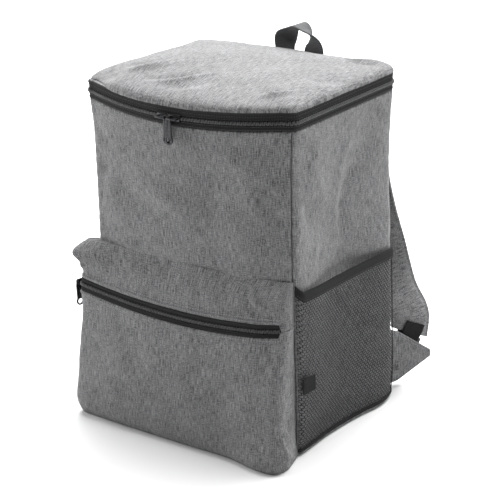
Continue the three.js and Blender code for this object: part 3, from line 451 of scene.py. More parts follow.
def wall_point(place, height, depth=0.0, valley=1.0):
    """Points at a depth under the bag's outer face."""
    place, height = np.broadcast_arrays(place, height)
    x, y = outline(place, height, valley)
    out_x, out_y = outwards(place, height, valley)
    wrapped = np.mod(place, ROUND)
    hang = bag().rim_sag * (1 - (2 * wrapped - 1) ** 2) * np.minimum(height / RIM_HEIGHT, 1) ** 3
    z = height - np.where(wrapped < 1, hang, 0)
    return np.stack([x - out_x * depth, y - out_y * depth, z], -1)


def places_along(start, end, spacing, height, trim=0.0, edges=()):
    """Places between two seams at an even spacing in metres, with their distances along the seam.
    edges adds places at those distances from both ends."""
    fine = np.linspace(start, end, 1200)
    x, y = outline(fine, np.full_like(fine, height))
    run = np.concatenate([[0], np.cumsum(np.hypot(np.diff(x), np.diff(y)))])
    total = run[-1]
    steps = max(2, round((total - 2 * trim) / spacing))
    at = spaced(trim, total - trim, steps, edges)
    return np.interp(at, run, fine), at


def spaced(start, end, steps, edges=()):
    """Even values from start to end, closer together by both ends."""
    even = np.linspace(start, end, steps + 1)
    near = [start + e for e in edges] + [end - e for e in edges]
    reach = max(edges, default=0)
    middle = [v for v in even if start + reach < v - 1e-4 and v + 1e-4 < end - reach]
    return np.array(sorted([start, *near, *middle, end]))


def run_along(points):
    """Distance along a line of points, at each of them."""
    return np.concatenate([[0], np.cumsum(np.linalg.norm(np.diff(points, axis=0), axis=1))])


def sampled(values, run, at):
    """Rows of values, given at each run, read off at other distances."""
    return np.stack([np.interp(at, run, values[:, k]) for k in range(3)], -1)


def wrinkle(u, v, size, seed, stretch=(1.0, 1.0)):
    """Smooth noise of a size in metres over cloth coordinates, from about -1 to 1."""
    flat_u, flat_v = np.ravel(u) / size / stretch[0], np.ravel(v) / size / stretch[1]
    values = [noise.noise((a, b, seed)) for a, b in zip(flat_u, flat_v)]
    return np.reshape(values, np.shape(u)) * 1.6


def creased(u, v, creases):
    """Height of a list of creases over cloth coordinates."""
    total = np.zeros(np.shape(u))
    for crease in creases:
        (u0, v0), (u1, v1) = [np.array(crease[end]) * MM for end in ("start", "end")]
        length = math.hypot(u1 - u0, v1 - v0)
        along = ((u - u0) * (u1 - u0) + (v - v0) * (v1 - v0)) / length**2
        aside = ((u - u0) * (v1 - v0) - (v - v0) * (u1 - u0)) / length
        bend = 0.12 * length * np.sin(math.pi * np.clip(along, 0, 1))
        taper = ease(along, -0.15, 0.35) * (1 - ease(along, 0.6, 1.15))
        near = np.exp(-(((aside - bend) / (crease["wide"] * MM)) ** 2))
        total += crease["rise"] * MM * taper * near
    return total


def seam_relief(distance, run, roll, seed):
    """Height of a panel beside a seam: its edge rolls in, and small puckers fade away from it."""
    inside = np.clip(distance, 0, roll)
    rolled = np.sqrt(np.maximum(roll**2 - (roll - inside) ** 2, 0)) - roll
    phase = run / 0.0115 * 2 * math.pi + 2.2 * np.sin(run / 0.031 + seed)
    pucker = np.sin(phase) * np.exp(-distance / 0.0055) * ease(distance, 0, 0.002)
    return rolled + 0.00042 * pucker


def normals_of(points, closed=False):
    """Unit normals of a grid of points, outwards where u turns anticlockwise and v goes up."""
    if closed:
        along = np.roll(points, -1, 0) - np.roll(points, 1, 0)
    else:
        along = np.gradient(points, axis=0)
    return unit(np.cross(along, np.gradient(points, axis=1)))


def new_piece(name, mesh, finish, body="bag", replaces=()):
    piece = bpy.data.objects.new(name, mesh)
    bpy.context.scene.collection.objects.link(piece)
    mesh.materials.clear()
    mesh.materials.append(material(finish))
    if replaces:
        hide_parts(*replaces)
    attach(piece, body)
    return piece


# Angles in degrees over which an edge stays sharp.
SOFT_EDGE = 40
STRIP_EDGE = 50
THREAD_EDGE = 60
NET_EDGES = 70


def smooth_mesh(mesh, sharp):
    mesh.shade_smooth()
    mesh.set_sharp_from_angle(angle=math.radians(sharp))


def built_mesh(name, points, faces, sharp, cloth=None, mend=None, closed=False):
    """A mesh whose faces agree, and look outwards if it is closed. cloth gives its points' cloth
    coordinates, mend changes the faces first, and edges over the sharp angle stay sharp."""
    mesh = bpy.data.meshes.new(name)
    mesh.from_pydata(points, [], faces)
    if cloth is not None:
        layer = mesh.attributes.new("cloth", "FLOAT_VECTOR", "POINT")
        layer.data.foreach_set("vector", cloth.ravel())
    made = bmesh.new()
    made.from_mesh(mesh)
    if mend:
        mend(made)
    bmesh.ops.recalc_face_normals(made, faces=made.faces)
    if closed and made.calc_volume(signed=True) < 0:
        bmesh.ops.reverse_faces(made, faces=made.faces)
    made.to_mesh(mesh)
    made.free()
    smooth_mesh(mesh, sharp)
    return mesh


def tube_faces(stations, sides, first=0):
    """Faces of a closed tube whose points lie round it, one station after another."""
    faces = []
    last = first + (stations - 1) * sides
    for low in range(first, last, sides):
        for k in range(sides):
            j = (k + 1) % sides
            faces.append((low + k, low + j, low + sides + j, low + sides + k))
    return [*faces, tuple(range(first + sides - 1, first - 1, -1)), tuple(range(last, last + sides))]


def grid_mesh(name, outer, inner, cloth, closed=False):
    """A closed mesh between two grids of points, with cloth coordinates kept on its points."""
    n, m = outer.shape[:2]
    points = np.concatenate([outer.reshape(-1, 3), inner.reshape(-1, 3)])
    index = np.arange(n * m).reshape(n, m)
    if closed:
        index = np.concatenate([index, index[:1]])
    a, b, c, d = index[:-1, :-1], index[1:, :-1], index[1:, 1:], index[:-1, 1:]
    top = np.stack([a, b, c, d], -1).reshape(-1, 4)
    under = top[:, ::-1] + n * m
    faces = [top, under]

    def rim(line):
        start, end = line[:-1], line[1:]
        faces.append(np.stack([start, start + n * m, end + n * m, end], -1))

    rim(index[::-1, 0])
    rim(index[:, -1])
    if not closed:
        rim(index[0, :])
        rim(index[-1, ::-1])
    flat = np.zeros((n * m, 3))
    flat[:, :2] = np.stack(cloth, -1).reshape(-1, 2)

    def weld(made):
        bmesh.ops.remove_doubles(made, verts=made.verts, dist=1e-6)
        bmesh.ops.dissolve_degenerate(made, edges=made.edges, dist=1e-7)

    return built_mesh(name, points.tolist(), np.concatenate(faces).tolist(), SOFT_EDGE,
                      np.concatenate([flat, flat]), weld, closed=True)


def settle(points, held, swell, pressure, cap, closed=False):
    """Runs a cloth simulation on a grid of points that is held where held is 1, with swell as the
    share of spare cloth, and returns the grid moved by at most cap."""
    n, m = points.shape[:2]
    index = np.arange(n * m).reshape(n, m)
    if closed:
        index = np.concatenate([index, index[:1]])
    a, b, c, d = index[:-1, :-1], index[1:, :-1], index[1:, 1:], index[:-1, 1:]
    mesh = bpy.data.meshes.new("settling_cloth")
    mesh.from_pydata(points.reshape(-1, 3).tolist(), [],
                     np.stack([a, b, c, d], -1).reshape(-1, 4).tolist())
    cloth = bpy.data.objects.new("settling_cloth", mesh)
    bpy.context.scene.collection.objects.link(cloth)
    group = cloth.vertex_groups.new(name="held")
    for weight in np.unique(held):
        members = np.flatnonzero(held.ravel() == weight).tolist()
        if weight > 0:
            group.add(members, float(weight), "REPLACE")
    modifier = cloth.modifiers.new("Cloth", "CLOTH")
    settings = modifier.settings
    settings.quality = 4
    settings.mass = 0.15
    settings.tension_stiffness = settings.compression_stiffness = 20
    settings.shear_stiffness = 8
    settings.bending_stiffness = 0.6
    settings.shrink_min = -swell
    settings.use_pressure = True
    settings.uniform_pressure_force = pressure
    settings.vertex_group_mass = "held"
    settings.effector_weights.gravity = 0
    frames = 20
    modifier.point_cache.frame_start = 1
    modifier.point_cache.frame_end = frames
    scene = bpy.context.scene
    for number in range(1, frames + 1):
        scene.frame_set(number)
    evaluated = cloth.evaluated_get(bpy.context.evaluated_depsgraph_get())
    moved = np.empty(n * m * 3)
    evaluated.data.vertices.foreach_get("co", moved)
    bpy.data.objects.remove(cloth)
    bpy.data.meshes.remove(mesh)
    scene.frame_set(1)
    move = moved.reshape(n, m, 3) - points
    far = np.linalg.norm(move, axis=-1, keepdims=True)
    return points + move * (cap * np.tanh(far / cap) / np.maximum(far, 1e-9))


def edge_distance(run, rise):
    """Distance from the nearest edge of a grid, and the run along that edge."""
    u, v = np.meshgrid(run, rise, indexing="ij")
    from_side = np.minimum(u - run[0], run[-1] - u)
    from_end = np.minimum(v - rise[0], rise[-1] - v)
    return u, v, from_side, from_end


class Value:
    """A socket in a material's nodes. Sums with numbers and other values add Math nodes."""

    def __init__(self, shade, socket):
        self.shade, self.socket = shade, socket

    def _math(self, operation, a, b):
        return self.shade.node("ShaderNodeMath", {"operation": operation}, {0: a, 1: b})

    def __add__(self, other):
        return self._math("ADD", self, other)

    def __radd__(self, other):
        return self._math("ADD", other, self)

    def __sub__(self, other):
        return self._math("SUBTRACT", self, other)

    def __rsub__(self, other):
        return self._math("SUBTRACT", other, self)

    def __mul__(self, other):
        return self._math("MULTIPLY", self, other)

    def __rmul__(self, other):
        return self._math("MULTIPLY", other, self)


class Shade:
    """A material of one Principled shader: node() adds any other node."""

    def __init__(self, name, **constants):
        self.material = bpy.data.materials.new(name)
        self.material.use_nodes = True
        self.tree = self.material.node_tree
        self.shader = self.tree.nodes["Principled BSDF"]
        for socket, value in constants.items():
            label = socket.replace("_", " ").title().replace("Ior", "IOR")
            self.shader.inputs[label].default_value = value

    def node(self, kind, settings=None, sockets=None, out=0):
        """A node with its settings, then its sockets' values or links, as the Value of an output."""
        made = self.tree.nodes.new(kind)
        for key, value in (settings or {}).items():
            setattr(made, key, value)
        for key, value in (sockets or {}).items():
            if isinstance(value, Value):
                self.tree.links.new(value.socket, made.inputs[key])
            else:
                made.inputs[key].default_value = value
        return Value(self, made.outputs[out])

    def feed(self, socket, value):
        self.tree.links.new(value.socket, self.shader.inputs[socket])

    def cloth(self):
        """Cloth coordinates in metres: along the piece and up it."""
        return self.node("ShaderNodeAttribute", {"attribute_name": "cloth"}, out=1)

    def place(self):
        return self.node("ShaderNodeTexCoord", out=3)

    def scaled(self, vector, scale):
        return self.node("ShaderNodeVectorMath", {"operation": "MULTIPLY"}, {0: vector, 1: scale})

    def split(self, vector):
        made = self.node("ShaderNodeSeparateXYZ", sockets={0: vector})
        return made, Value(self, made.socket.node.outputs[1])

    def noise(self, vector, scale, detail=2.0):
        at = self.scaled(vector, scale)
        return self.node("ShaderNodeTexNoise", sockets={"Vector": at, "Scale": 1.0, "Detail": detail})

    def wave(self, value, pitch):
        """A sine of a length coordinate with a pitch in metres."""
        turned = value * (2 * math.pi / pitch)
        return self.node("ShaderNodeMath", {"operation": "SINE"}, {0: turned})

    def blend(self, factor, a, b):
        """Colour from a to b, with the factor held between 0 and 1."""
        return self.node("ShaderNodeMix", {"data_type": "RGBA", "clamp_factor": True},
                         {0: factor, 6: (*a, 1.0) if isinstance(a, tuple) else a,
                          7: (*b, 1.0) if isinstance(b, tuple) else b}, out=2)

    def bump(self, height, distance, strength=1.0):
        made = self.node("ShaderNodeBump",
                         sockets={"Height": height, "Distance": distance, "Strength": strength})
        self.feed("Normal", made)


MATERIALS = {}


def material(name):
    """A finish by name, made the first time it is asked for."""
    if name not in MATERIALS:
        MATERIALS[name] = FINISHES[name](name)
    return MATERIALS[name]


def melange_cloth(name):
    """Plain weave of light and dark yarns, with slubs both ways."""
    shade = Shade(name, roughness=0.82, sheen_weight=0.12, specular_ior_level=0.25)
    cloth = shade.cloth()
    warp = shade.noise(cloth, (1300, 95, 1), 2.0)
    weft = shade.noise(cloth, (180, 1350, 7), 2.0)
    fleck = shade.noise(cloth, (1200, 1000, 3), 1.0)
    patch = shade.noise(cloth, (28, 24, 5), 1.0)
    tone = (warp - 0.5) * 2.0 + (weft - 0.5) * 1.4 + (fleck - 0.5) * 1.3 + (patch - 0.5) * 0.3
    light, dark = tuple(colours().light_yarn), tuple(colours().dark_yarn)
    shade.feed("Base Color", shade.blend(tone + 0.5, dark, light))
    u, v = shade.split(cloth)
    yarns = shade.wave(u, 0.00062) * shade.wave(v, 0.00062)
    shade.bump(yarns * 0.35 + warp * 0.8 + weft * 0.6, 0.00022, 0.7)
    return shade.material


# Woven trims: the colour they start from and the share of it, and the pitch, height and
# speckle of their ribs, the first two in metres.
TRIMS = {
    "zip_tape_cloth": ("trim", 1.0, 0.0009, 0.0002, 0.35),
    "binding_cloth": ("trim", 0.7, 0.0013, 0.0003, 0.35),
    "webbing_cloth": ("webbing", 1.0, 0.0016, 0.00045, 0.25),
    "black_webbing": ("trim", 0.7, 0.0016, 0.00045, 0.25),
    "tag_cloth": ("trim", 0.8, 0.0005, 0.0001, 0.35),
}


def scaled_colour(colour, share):
    return tuple(channel * share for channel in colour)


def woven_trim(name):
    """Ribbed woven tape: ribs run across it and show lighter where they catch the light."""
    source, share, pitch, rib, speckle = TRIMS[name]
    colour = scaled_colour(getattr(colours(), source), share)
    shade = Shade(name, roughness=0.85, sheen_weight=0.02, specular_ior_level=0.12)
    cloth = shade.cloth()
    u, v = shade.split(cloth)
    ribs = shade.wave(u, pitch)
    yarns = shade.wave(v, pitch * 0.72)
    fuzz = shade.noise(cloth, (1500, 900, 2), 2.0)
    tone = ribs * 0.18 + yarns * 0.12 + (fuzz - 0.5) * speckle * 3 + 0.45
    shade.feed("Base Color",
               shade.blend(tone, scaled_colour(colour, 0.6), scaled_colour(colour, 1.9)))
    shade.bump(ribs * 0.5 + yarns * 0.3 + fuzz * 0.5, rib, 0.8)
    return shade.material


# Threads: roughness, specular level, and the dark and light end of their colour.
THREADS = {
    "grey_thread": (0.6, 0.35, (0.16, 0.161, 0.165), (0.34, 0.341, 0.35)),
    "black_thread": (0.55, 0.4, (0.02, 0.02, 0.021), (0.055, 0.055, 0.057)),
}


def thread(name):
    roughness, specular, dark, light = THREADS[name]
    shade = Shade(name, roughness=roughness, specular_ior_level=specular)
    tone = shade.noise(shade.place(), (900, 900, 900), 1.0)
    shade.feed("Base Color", shade.blend((tone - 0.5) * 2 + 0.5, dark, light))
    return shade.material


def coil_nylon(name):
    shade = Shade(name, roughness=0.36, specular_ior_level=0.4)
    tone = shade.noise(shade.place(), (160, 160, 160), 2.0)
    base = tuple(colours().coil)
    shade.feed("Base Color", shade.blend((tone - 0.5) * 2 + 0.4, base, scaled_colour(base, 2.4)))
    shade.feed("Roughness", tone * 0.25 + 0.24)
    return shade.material


def net_yarn(name):
    """Knitted yarn: fine loops show as slanted lighter dashes."""
    shade = Shade(name, roughness=0.75, sheen_weight=0.03, specular_ior_level=0.15)
    cloth = shade.cloth()
    u, v = shade.split(cloth)
    loops = shade.wave(u * 0.8 + v, 0.0006)
    fuzz = shade.noise(cloth, (1300, 1300, 4), 2.0)
    base = tuple(colours().net)
    darker, lighter = scaled_colour(base, 0.5), scaled_colour(base, 2.2)
    shade.feed("Base Color", shade.blend(loops * 0.22 + (fuzz - 0.5) * 1.3 + 0.4, darker, lighter))
    shade.bump(loops * 0.6 + fuzz, 0.00018, 0.8)
    return shade.material


def dark_nickel(name):
    """Plated die casting: fine grain, and worn lighter and rougher in patches."""
    shade = Shade(name, metallic=1.0, roughness=0.3)
    place = shade.place()
    wear = shade.noise(place, (420, 420, 420), 3.0)
    grain = shade.noise(place, (2600, 2600, 2600), 1.0)
    base = tuple(colours().metal)
    shade.feed("Base Color", shade.blend((wear - 0.5) * 2.2 + 0.4, scaled_colour(base, 0.6), base))
    shade.feed("Roughness", wear * 0.3 + 0.16)
    shade.bump(grain, 0.00004, 0.5)
    return shade.material


def moulded_plastic(name):
    shade = Shade(name, roughness=0.42, specular_ior_level=0.5)
    place = shade.place()
    grain = shade.noise(place, (2200, 2200, 2200), 1.0)
    cloud = shade.noise(place, (120, 120, 120), 2.0)
    base = tuple(colours().plastic)
    shade.feed("Base Color", shade.blend((cloud - 0.5) * 1.5 + 0.4, base, scaled_colour(base, 2)))
    shade.feed("Roughness", cloud * 0.22 + 0.3)
    shade.bump(grain, 0.00005, 0.5)
    return shade.material


def pale_floor(name):
    shade = Shade(name, roughness=0.9, specular_ior_level=0.1)
    tone = shade.noise(shade.place(), (3, 3, 3), 2.0)
    shade.feed("Base Color", shade.blend(tone, (0.67, 0.67, 0.673), (0.7, 0.7, 0.7)))
    return shade.material


FINISHES = {
    **dict.fromkeys(TRIMS, woven_trim),
    **dict.fromkeys(THREADS, thread),
    **{finish.__name__: finish for finish in (melange_cloth, coil_nylon, net_yarn, dark_nickel,
                                              moulded_plastic, pale_floor)},
}

# Distances from a panel's edge, in metres, at which its grid gets an extra line.
EDGES = (0.00025, 0.0006, 0.0011, 0.0018, 0.0027, 0.004)


def behind_net(points, place, level):
    """Side panel points, pressed back to the plain wall where the net lies over them."""
    x, y = outwards(place, level)
    out = np.stack([x, y, 0 * x], -1)
    proud = ((points - wall_point(place, level)) * out).sum(-1)
    room = lerp(-0.0002, 0.004, ease(level, bag().net_front - 0.01, bag().net_front + 0.03))
    return points - out * np.maximum(proud - room, 0)[..., None]


def wall_panel(name, start, end, top, creases, seed, swell, fill):
    """A padded panel of the box: rolled seams, puckers, creases and a settled outer face."""
    size = bag()
    height = RIM_HEIGHT / 2
    places, run = places_along(start, end, PANEL_GRID, height, SEAM_GAP / 2, EDGES)
    bottom = size.wall + SEAM_GAP
    rise = spaced(bottom, top, round((top - bottom) / PANEL_GRID), EDGES)
    u, v, from_side, from_end = edge_distance(run, rise)
    mirrored = name.endswith("left")
    side_u = run[-1] - u if mirrored else u
    at_u = side_u if "side" in name else u - run[-1] / 2
    place, level = np.meshgrid(places, rise, indexing="ij")
    relief = seam_relief(from_side, v, size.seam_roll, seed)
    relief = np.minimum(relief, seam_relief(from_end, u, size.seam_roll, seed + 3))
    inner_share = ease(np.minimum(from_side, from_end), 0.0, 0.02)
    soft = 0.0007 * wrinkle(u, v, 0.035, seed) + 0.0009 * wrinkle(u, v, 0.08, seed + 5, (0.6, 1.8))
    relief = relief + (soft + creased(at_u, v, creases)) * inner_share
    outer = wall_point(place, level, -relief)
    held = (np.minimum(from_side, from_end) < 0.003).astype(float)
    outer = settle(outer, held, swell, 0.6, 0.0022)
    if "side" in name:
        outer = behind_net(outer, place, level)
    inner = wall_point(place, level, size.wall)
    mesh = grid_mesh(name, outer, inner, (u, v))
    piece = new_piece(name, mesh, "melange_cloth", replaces=[name])
    return piece


def base_panel():
    """Bottom of the box: a padded board with a rolled edge."""
    size = bag()
    places = places_along(0, ROUND, BASE_GRID, 0)[0][:-1]
    rings = np.array([0.0, 0.0015, 0.004, 0.009, 0.02, 0.05, 0.3, 0.6, 0.9, 1.0])
    place, ring = np.meshgrid(places, rings, indexing="ij")
    edge = wall_point(place, np.zeros_like(place))
    middle = np.array([0, 0, 0])
    under = lerp(edge, middle, ring[..., None])
    over = under.copy()
    over[..., 2] = size.wall
    lift = 0.0012 * np.exp(-ring / 0.006)
    under[..., 2] = lift
    outer = under[::-1]
    mesh = grid_mesh("base_panel", outer, over[::-1], (outer[..., 0], outer[..., 1]), closed=True)
    piece = new_piece("base_panel", mesh, "melange_cloth",
                      replaces=["base_panel"])
    return piece


def box_panels():
    sides = (FRONT_RIGHT_SEAM, BACK_RIGHT_SEAM), (BACK_LEFT_SEAM, ROUND + FRONT_LEFT_SEAM)
    wall_panel("front_panel", FRONT_LEFT_SEAM, FRONT_RIGHT_SEAM, RIM_HEIGHT, FRONT_CREASES,
               1.3, 0.004, 0.5)
    wall_panel("side_panel_right", *sides[0], RIM_HEIGHT, SIDE_CREASES, 4.7, 0.006, 0.4)
    wall_panel("side_panel_left", *sides[1], RIM_HEIGHT, SIDE_CREASES, 7.9, 0.006, 0.4)
    wall_panel("back_panel", BACK_RIGHT_SEAM, BACK_LEFT_SEAM, BACK_HIGH.z, NO_CREASES,
               9.1, 0.003, 0.6)
    base_panel()


def lid():
    """Padded lid: a low dome with soft creases and a rolled seam."""
    size = bag()
    places, run = places_along(0, ROUND, LID_GRID, RIM_HEIGHT)
    places, run = places[:-1], run[:-1]
    rings = np.concatenate([[0, 0.006, 0.014, 0.024, 0.038, 0.055], np.linspace(0.075, 1, 46)])
    place, ring = np.meshgrid(places, rings, indexing="ij")
    along, _ = np.meshgrid(run, rings, indexing="ij")
    reach, rise = LID_AT["reach"](ring), LID_AT["rise"](ring)
    middle = np.array([0, -size.bow / 4, LID_SEAM])

    def face(depth):
        edge = wall_point(place, np.full_like(place, LID_SEAM), depth)
        points = lerp(middle, edge, reach[..., None])
        points[..., 2] += rise * size.dome - depth * np.minimum(rise / LID_RINGS[2]["rise"], 1)
        return points

    outer = face(0.0)
    x, y = outer[..., 0], outer[..., 1]
    from_edge = ring * 0.11
    relief = seam_relief(from_edge, along, size.seam_roll, 2.1) * (1 - ease(from_edge, 0.012, 0.02))
    inside = ease(from_edge, 0.0, 0.016)
    soft = 0.0006 * wrinkle(x, y, 0.034, 12.5) + 0.0017 * wrinkle(x, y, 0.075, 15.5)
    relief = relief + (soft + creased(x, y, LID_CREASES)) * inside
    outer = outer + normals_of(outer, closed=True) * relief[..., None]
    outer[:, -1] = outer[:, -1].mean(0)
    held = (ring < 0.03).astype(float)
    outer = settle(outer, held, 0.006, 0.8, 0.0028, closed=True)
    outer[:, -1] = outer[:, -1].mean(0)
    mesh = grid_mesh("lid_panel", outer, face(size.lid_wall), (x, y), closed=True)
    piece = new_piece("lid_panel", mesh, "melange_cloth",
                      replaces=["lid_panel"])
    return piece


def band_mesh(name, point, places, run, bottom, height, thickness, profile):
    """A narrow band: profile gives the height of its outer face over its section."""
    share = np.linspace(0, 1, len(profile))
    place, level = np.meshgrid(places, bottom + share * height, indexing="ij")
    proud = np.broadcast_to(np.array(profile) * MM, place.shape)
    outer, inner = point(place, level, -proud), point(place, level, thickness)
    u, v = np.meshgrid(run, share * height, indexing="ij")
    return grid_mesh(name, outer, inner, (u, v))


# How far bands stand out over their section, from the lower edge up, in millimetres.
TAPE_PROFILE = (-0.35, -0.05, 0.05, 0.05, -0.15, -0.45, -0.5, -0.2, 0.05)
CORE_PROFILE = (-0.5, -0.4, -0.35, -0.4, -0.5)
ROLL_PROFILE = (-0.7, 0.2, 0.55, 0.65, 0.6, 0.35, -0.2, -1.0)
BINDING_PROFILE = (-0.9, -0.2, 0.0, 0.05, -0.1, -0.1, 0.05, 0.1, 0.1, -0.2, -0.9)
EDGING_PROFILE = (-0.5, 0.0, 0.1, 0.0, -0.5)
TAG_PROFILE = (-0.1, 0.0, 0.02, 0.02, 0.02, 0.02, 0.02, 0.0, -0.1)


def tooth_row(name, line, out, up, height, pitch, thickness):
    """A zip coil: slanted teeth that interlock from above and below, over a cord core."""
    run = run_along(line)
    count = int(run[-1] / pitch)
    at = (np.arange(count) + 0.5) * pitch
    centre, out, up = [sampled(values, run, at) for values in (line, out, up)]
    out, up = unit(out), unit(up)
    along = unit(np.cross(up, out))
    side = np.where(np.arange(count) % 2, 1.0, -1.0)[:, None]
    radius = 0.36 * pitch
    ring = [(math.cos(t), math.sin(t)) for t in np.linspace(0, 2 * math.pi, 7)[:-1]]
    # Stations along a tooth from its root over the crown to its tip: up, out and thickness.
    stations = ((-0.5, -0.3, 0.5), (-0.42, 0.15, 0.9), (-0.2, 0.42, 1.0), (0.1, 0.5, 1.15),
                (0.3, 0.4, 1.25), (0.42, 0.1, 0.7))
    points, faces = [], []
    for up_share, out_share, wide in stations:
        slant = along * (up_share * pitch * 0.35)
        place = centre + up * (side * up_share * height) + out * (out_share * thickness) + slant
        for a, b in ring:
            points.append(place + along * (a * radius * wide) + out * (b * radius * 0.9 * wide))
    points = np.array(points).transpose(1, 0, 2)
    for tooth in range(count):
        faces += tube_faces(len(stations), len(ring), tooth * len(stations) * len(ring))
    return built_mesh(name, points.reshape(-1, 3).tolist(), faces, THREAD_EDGE)


def stitches(name, lines, spacing=0.0032, length=0.0021, thick=0.0003, body="bag",
             finish="grey_thread", slot="melange"):
    """Rows of raised thread: lines is a list of (points, normals) in metres."""
    points, faces = [], []
    section = [(math.cos(t), math.sin(t)) for t in np.linspace(0, 2 * math.pi, 6)[:-1]]
    stations = ((-0.5, -0.8, 0.45), (-0.28, 0.35, 1.0), (0.28, 0.35, 1.0), (0.5, -0.8, 0.45))
    for line, normals in lines:
        run = run_along(line)
        count = max(1, int(run[-1] / spacing))
        for at in (np.arange(count) + 0.5) * run[-1] / count:
            here, ahead = [sampled(line, run, a) for a in (at, at + 0.0005)]
            out = unit(sampled(normals, run, at))
            along = unit(ahead - here)
            aside = unit(np.cross(along, out))
            first = len(points)
            for a, o, w in stations:
                centre = here + along * a * length + out * o * thick
                points += [centre + aside * (x * thick * w) + out * (z * thick * w)
                           for x, z in section]
            faces += tube_faces(len(stations), len(section), first)
    mesh = built_mesh(name, [p.tolist() for p in points], faces, THREAD_EDGE)
    return new_piece(name, mesh, finish, body)


def stitches_both_sides(name, lines, **sizes):
    """Rows of thread on the right and their mirror image on the left."""
    for side, flip in (("right", 1), ("left", -1)):
        mirror = np.array([flip, 1, 1])
        mirrored = [(line * mirror, normals * mirror) for line, normals in lines]
        stitches(f"{name}_{side}", mirrored, **sizes)


def zip_tapes(prefix, point, places, run, bottoms, height):
    """Lower and upper tape of a zip, with their raised edges by the coil."""
    for part, bottom, profile in (("lower", bottoms[0], TAPE_PROFILE),
                                  ("upper", bottoms[1], TAPE_PROFILE[::-1])):
        name = f"{prefix}_zip_tape_{part}"
        mesh = band_mesh(name, point, places, run, bottom, height, zips().tape_thickness, profile)
        new_piece(name, mesh, "zip_tape_cloth", replaces=[name])


def zip_core(prefix, point, places, run, bottom, height):
    """Dark band under a zip's teeth."""
    name = f"{prefix}_zip_core"
    mesh = band_mesh(name, point, places, run, bottom, height, zips().tape_thickness, CORE_PROFILE)
    new_piece(name, mesh, "zip_tape_cloth")


def zip_teeth(prefix, line, out, up, height):
    size = zips()
    name = f"{prefix}_zip_coil"
    mesh = tooth_row(name, line, out, up, height, size.tooth, size.coil_thickness * 0.6)
    new_piece(name, mesh, "coil_nylon", replaces=[name])


def main_zip():
    """Tapes and teeth of the zip on three sides of the rim, with its stitching."""
    size = zips()
    start = BACK_LEFT_SEAM - ROUND
    places, run = places_along(start, BACK_RIGHT_SEAM, ZIP_GRID, RIM_HEIGHT, SEAM_GAP / 2)
    lower = RIM_HEIGHT + SEAM_GAP
    coil = lower + size.tape + SEAM_GAP
    upper = coil + size.coil + SEAM_GAP

    zip_tapes("main", wall_point, places, run, (lower, upper), size.tape)
    roll = band_mesh("main_zip_roll", wall_point, places, run, LID_SEAM - 0.6 * MM, size.roll,
                     1.2 * MM, ROLL_PROFILE)
    new_piece("main_zip_roll", roll, "zip_tape_cloth")

    middle = np.full_like(places, coil + size.coil / 2)
    line = wall_point(places, middle, -0.2 * MM)
    out_x, out_y = outwards(places, middle)
    out = np.stack([out_x, out_y, 0 * out_x], -1)
    up = np.tile([0.0, 0.0, 1.0], (len(places), 1))
    zip_teeth("main", line, out, up, size.coil)
    zip_core("main", wall_point, places, run, coil, size.coil)
    lines = []
    for height in (lower + 0.0012, coil - 0.0011, upper + 0.0011, upper + size.tape - 0.0012):
        lines.append((wall_point(places, np.full_like(places, height), -0.12 * MM), out))
    stitches("main_zip_stitches", lines, 0.0028, 0.0019, 0.00022, finish="black_thread",
             slot="black_trim")


def front_face(x, z):
    """Y of the front panel's outer face at x."""
    size = bag()
    share = z / RIM_HEIGHT
    half_width = BODY_AT["width"](share) * size.width / 2
    half_depth = BODY_AT["depth"](share) * size.depth / 2
    straight = half_width - size.front_radius
    aside = np.clip(np.abs(x) - straight, 0, size.front_radius)
    bowed = -half_depth - BODY_AT["bow"](share) * size.bow * (1 - (x / straight) ** 2)
    rounded = size.front_radius - half_depth - np.sqrt(size.front_radius**2 - aside**2)
    return np.where(np.abs(x) <= straight, bowed, rounded)


POCKET_GAP = 0.7 * MM
POCKET_GRID = 2.6 * MM
HEM_RISE = 0.0009  # how far a folded hem stands out
HEM_STEP = (0.0032, 0.0042)  # where it steps down to the single cloth
HEM_FOLD = 0.0005  # how soon its folded edge rises
POCKET_MIDDLE = 2.5  # place in the middle of the pocket
POCKET_SEAM = 5  # place of its right seam


def pocket_point(place, height, depth=0.0):
    """Points of the front pocket: place runs from its left seam round to its right seam at 5, and
    height is a share of its height, or below 0 the way back under it."""
    size = pocket()
    place, height = np.broadcast_arrays(place, height)
    level = np.maximum(height, 0)
    reach = size.fabric + POCKET_AT["depth"](level) * (size.depth - size.fabric) - depth
    way = np.where(height < 0, 1 + height, 1.0)
    half = size.width / 2
    radius = np.minimum(size.corner - depth, reach)
    side = np.where(place < 2.5, -1.0, 1.0)
    step = np.where(side < 0, place, 5 - place)
    turn = np.clip(step - 1, 0, 1) * math.pi / 2
    wide = half - depth
    across = np.select(
        [step > 2, step > 1],
        [(wide - radius) * (2.5 - step) / 0.5, wide - radius + radius * np.cos(turn)], wide)
    out = np.select([step > 2, step > 1],
                    [reach, reach - radius + radius * np.sin(turn)], step * (reach - radius))
    out = out * way
    proud = np.where(reach > 0, np.minimum(out / np.maximum(reach, 1e-6), 1), 0)
    middle = 1 - (across / half) ** 2
    x = side * (across + POCKET_AT["flare"](level) * size.flare * proud * (across / half) ** 4)
    for fold in POCKET_FOLDS:
        near = ((side * across) / half - fold["across"]) / fold["wide"]
        far = (level - fold["height"]) / fold["tall"]
        weight = np.exp(-(near**2) - far**2) * proud
        x = x + weight * fold["side"] * size.flare
        out = out + weight * fold["out"] * size.depth * way
    at_zip = size.zip_height / size.height
    hang = size.zip_sag * middle * level * (1 - level) / (at_zip * (1 - at_zip))
    z = size.floor + np.maximum(level * (size.height - size.floor) - hang, depth)
    y = np.minimum(front_face(side * across, z), front_face(x, z)) - POCKET_GAP - out
    return np.stack([x, y, z], -1)


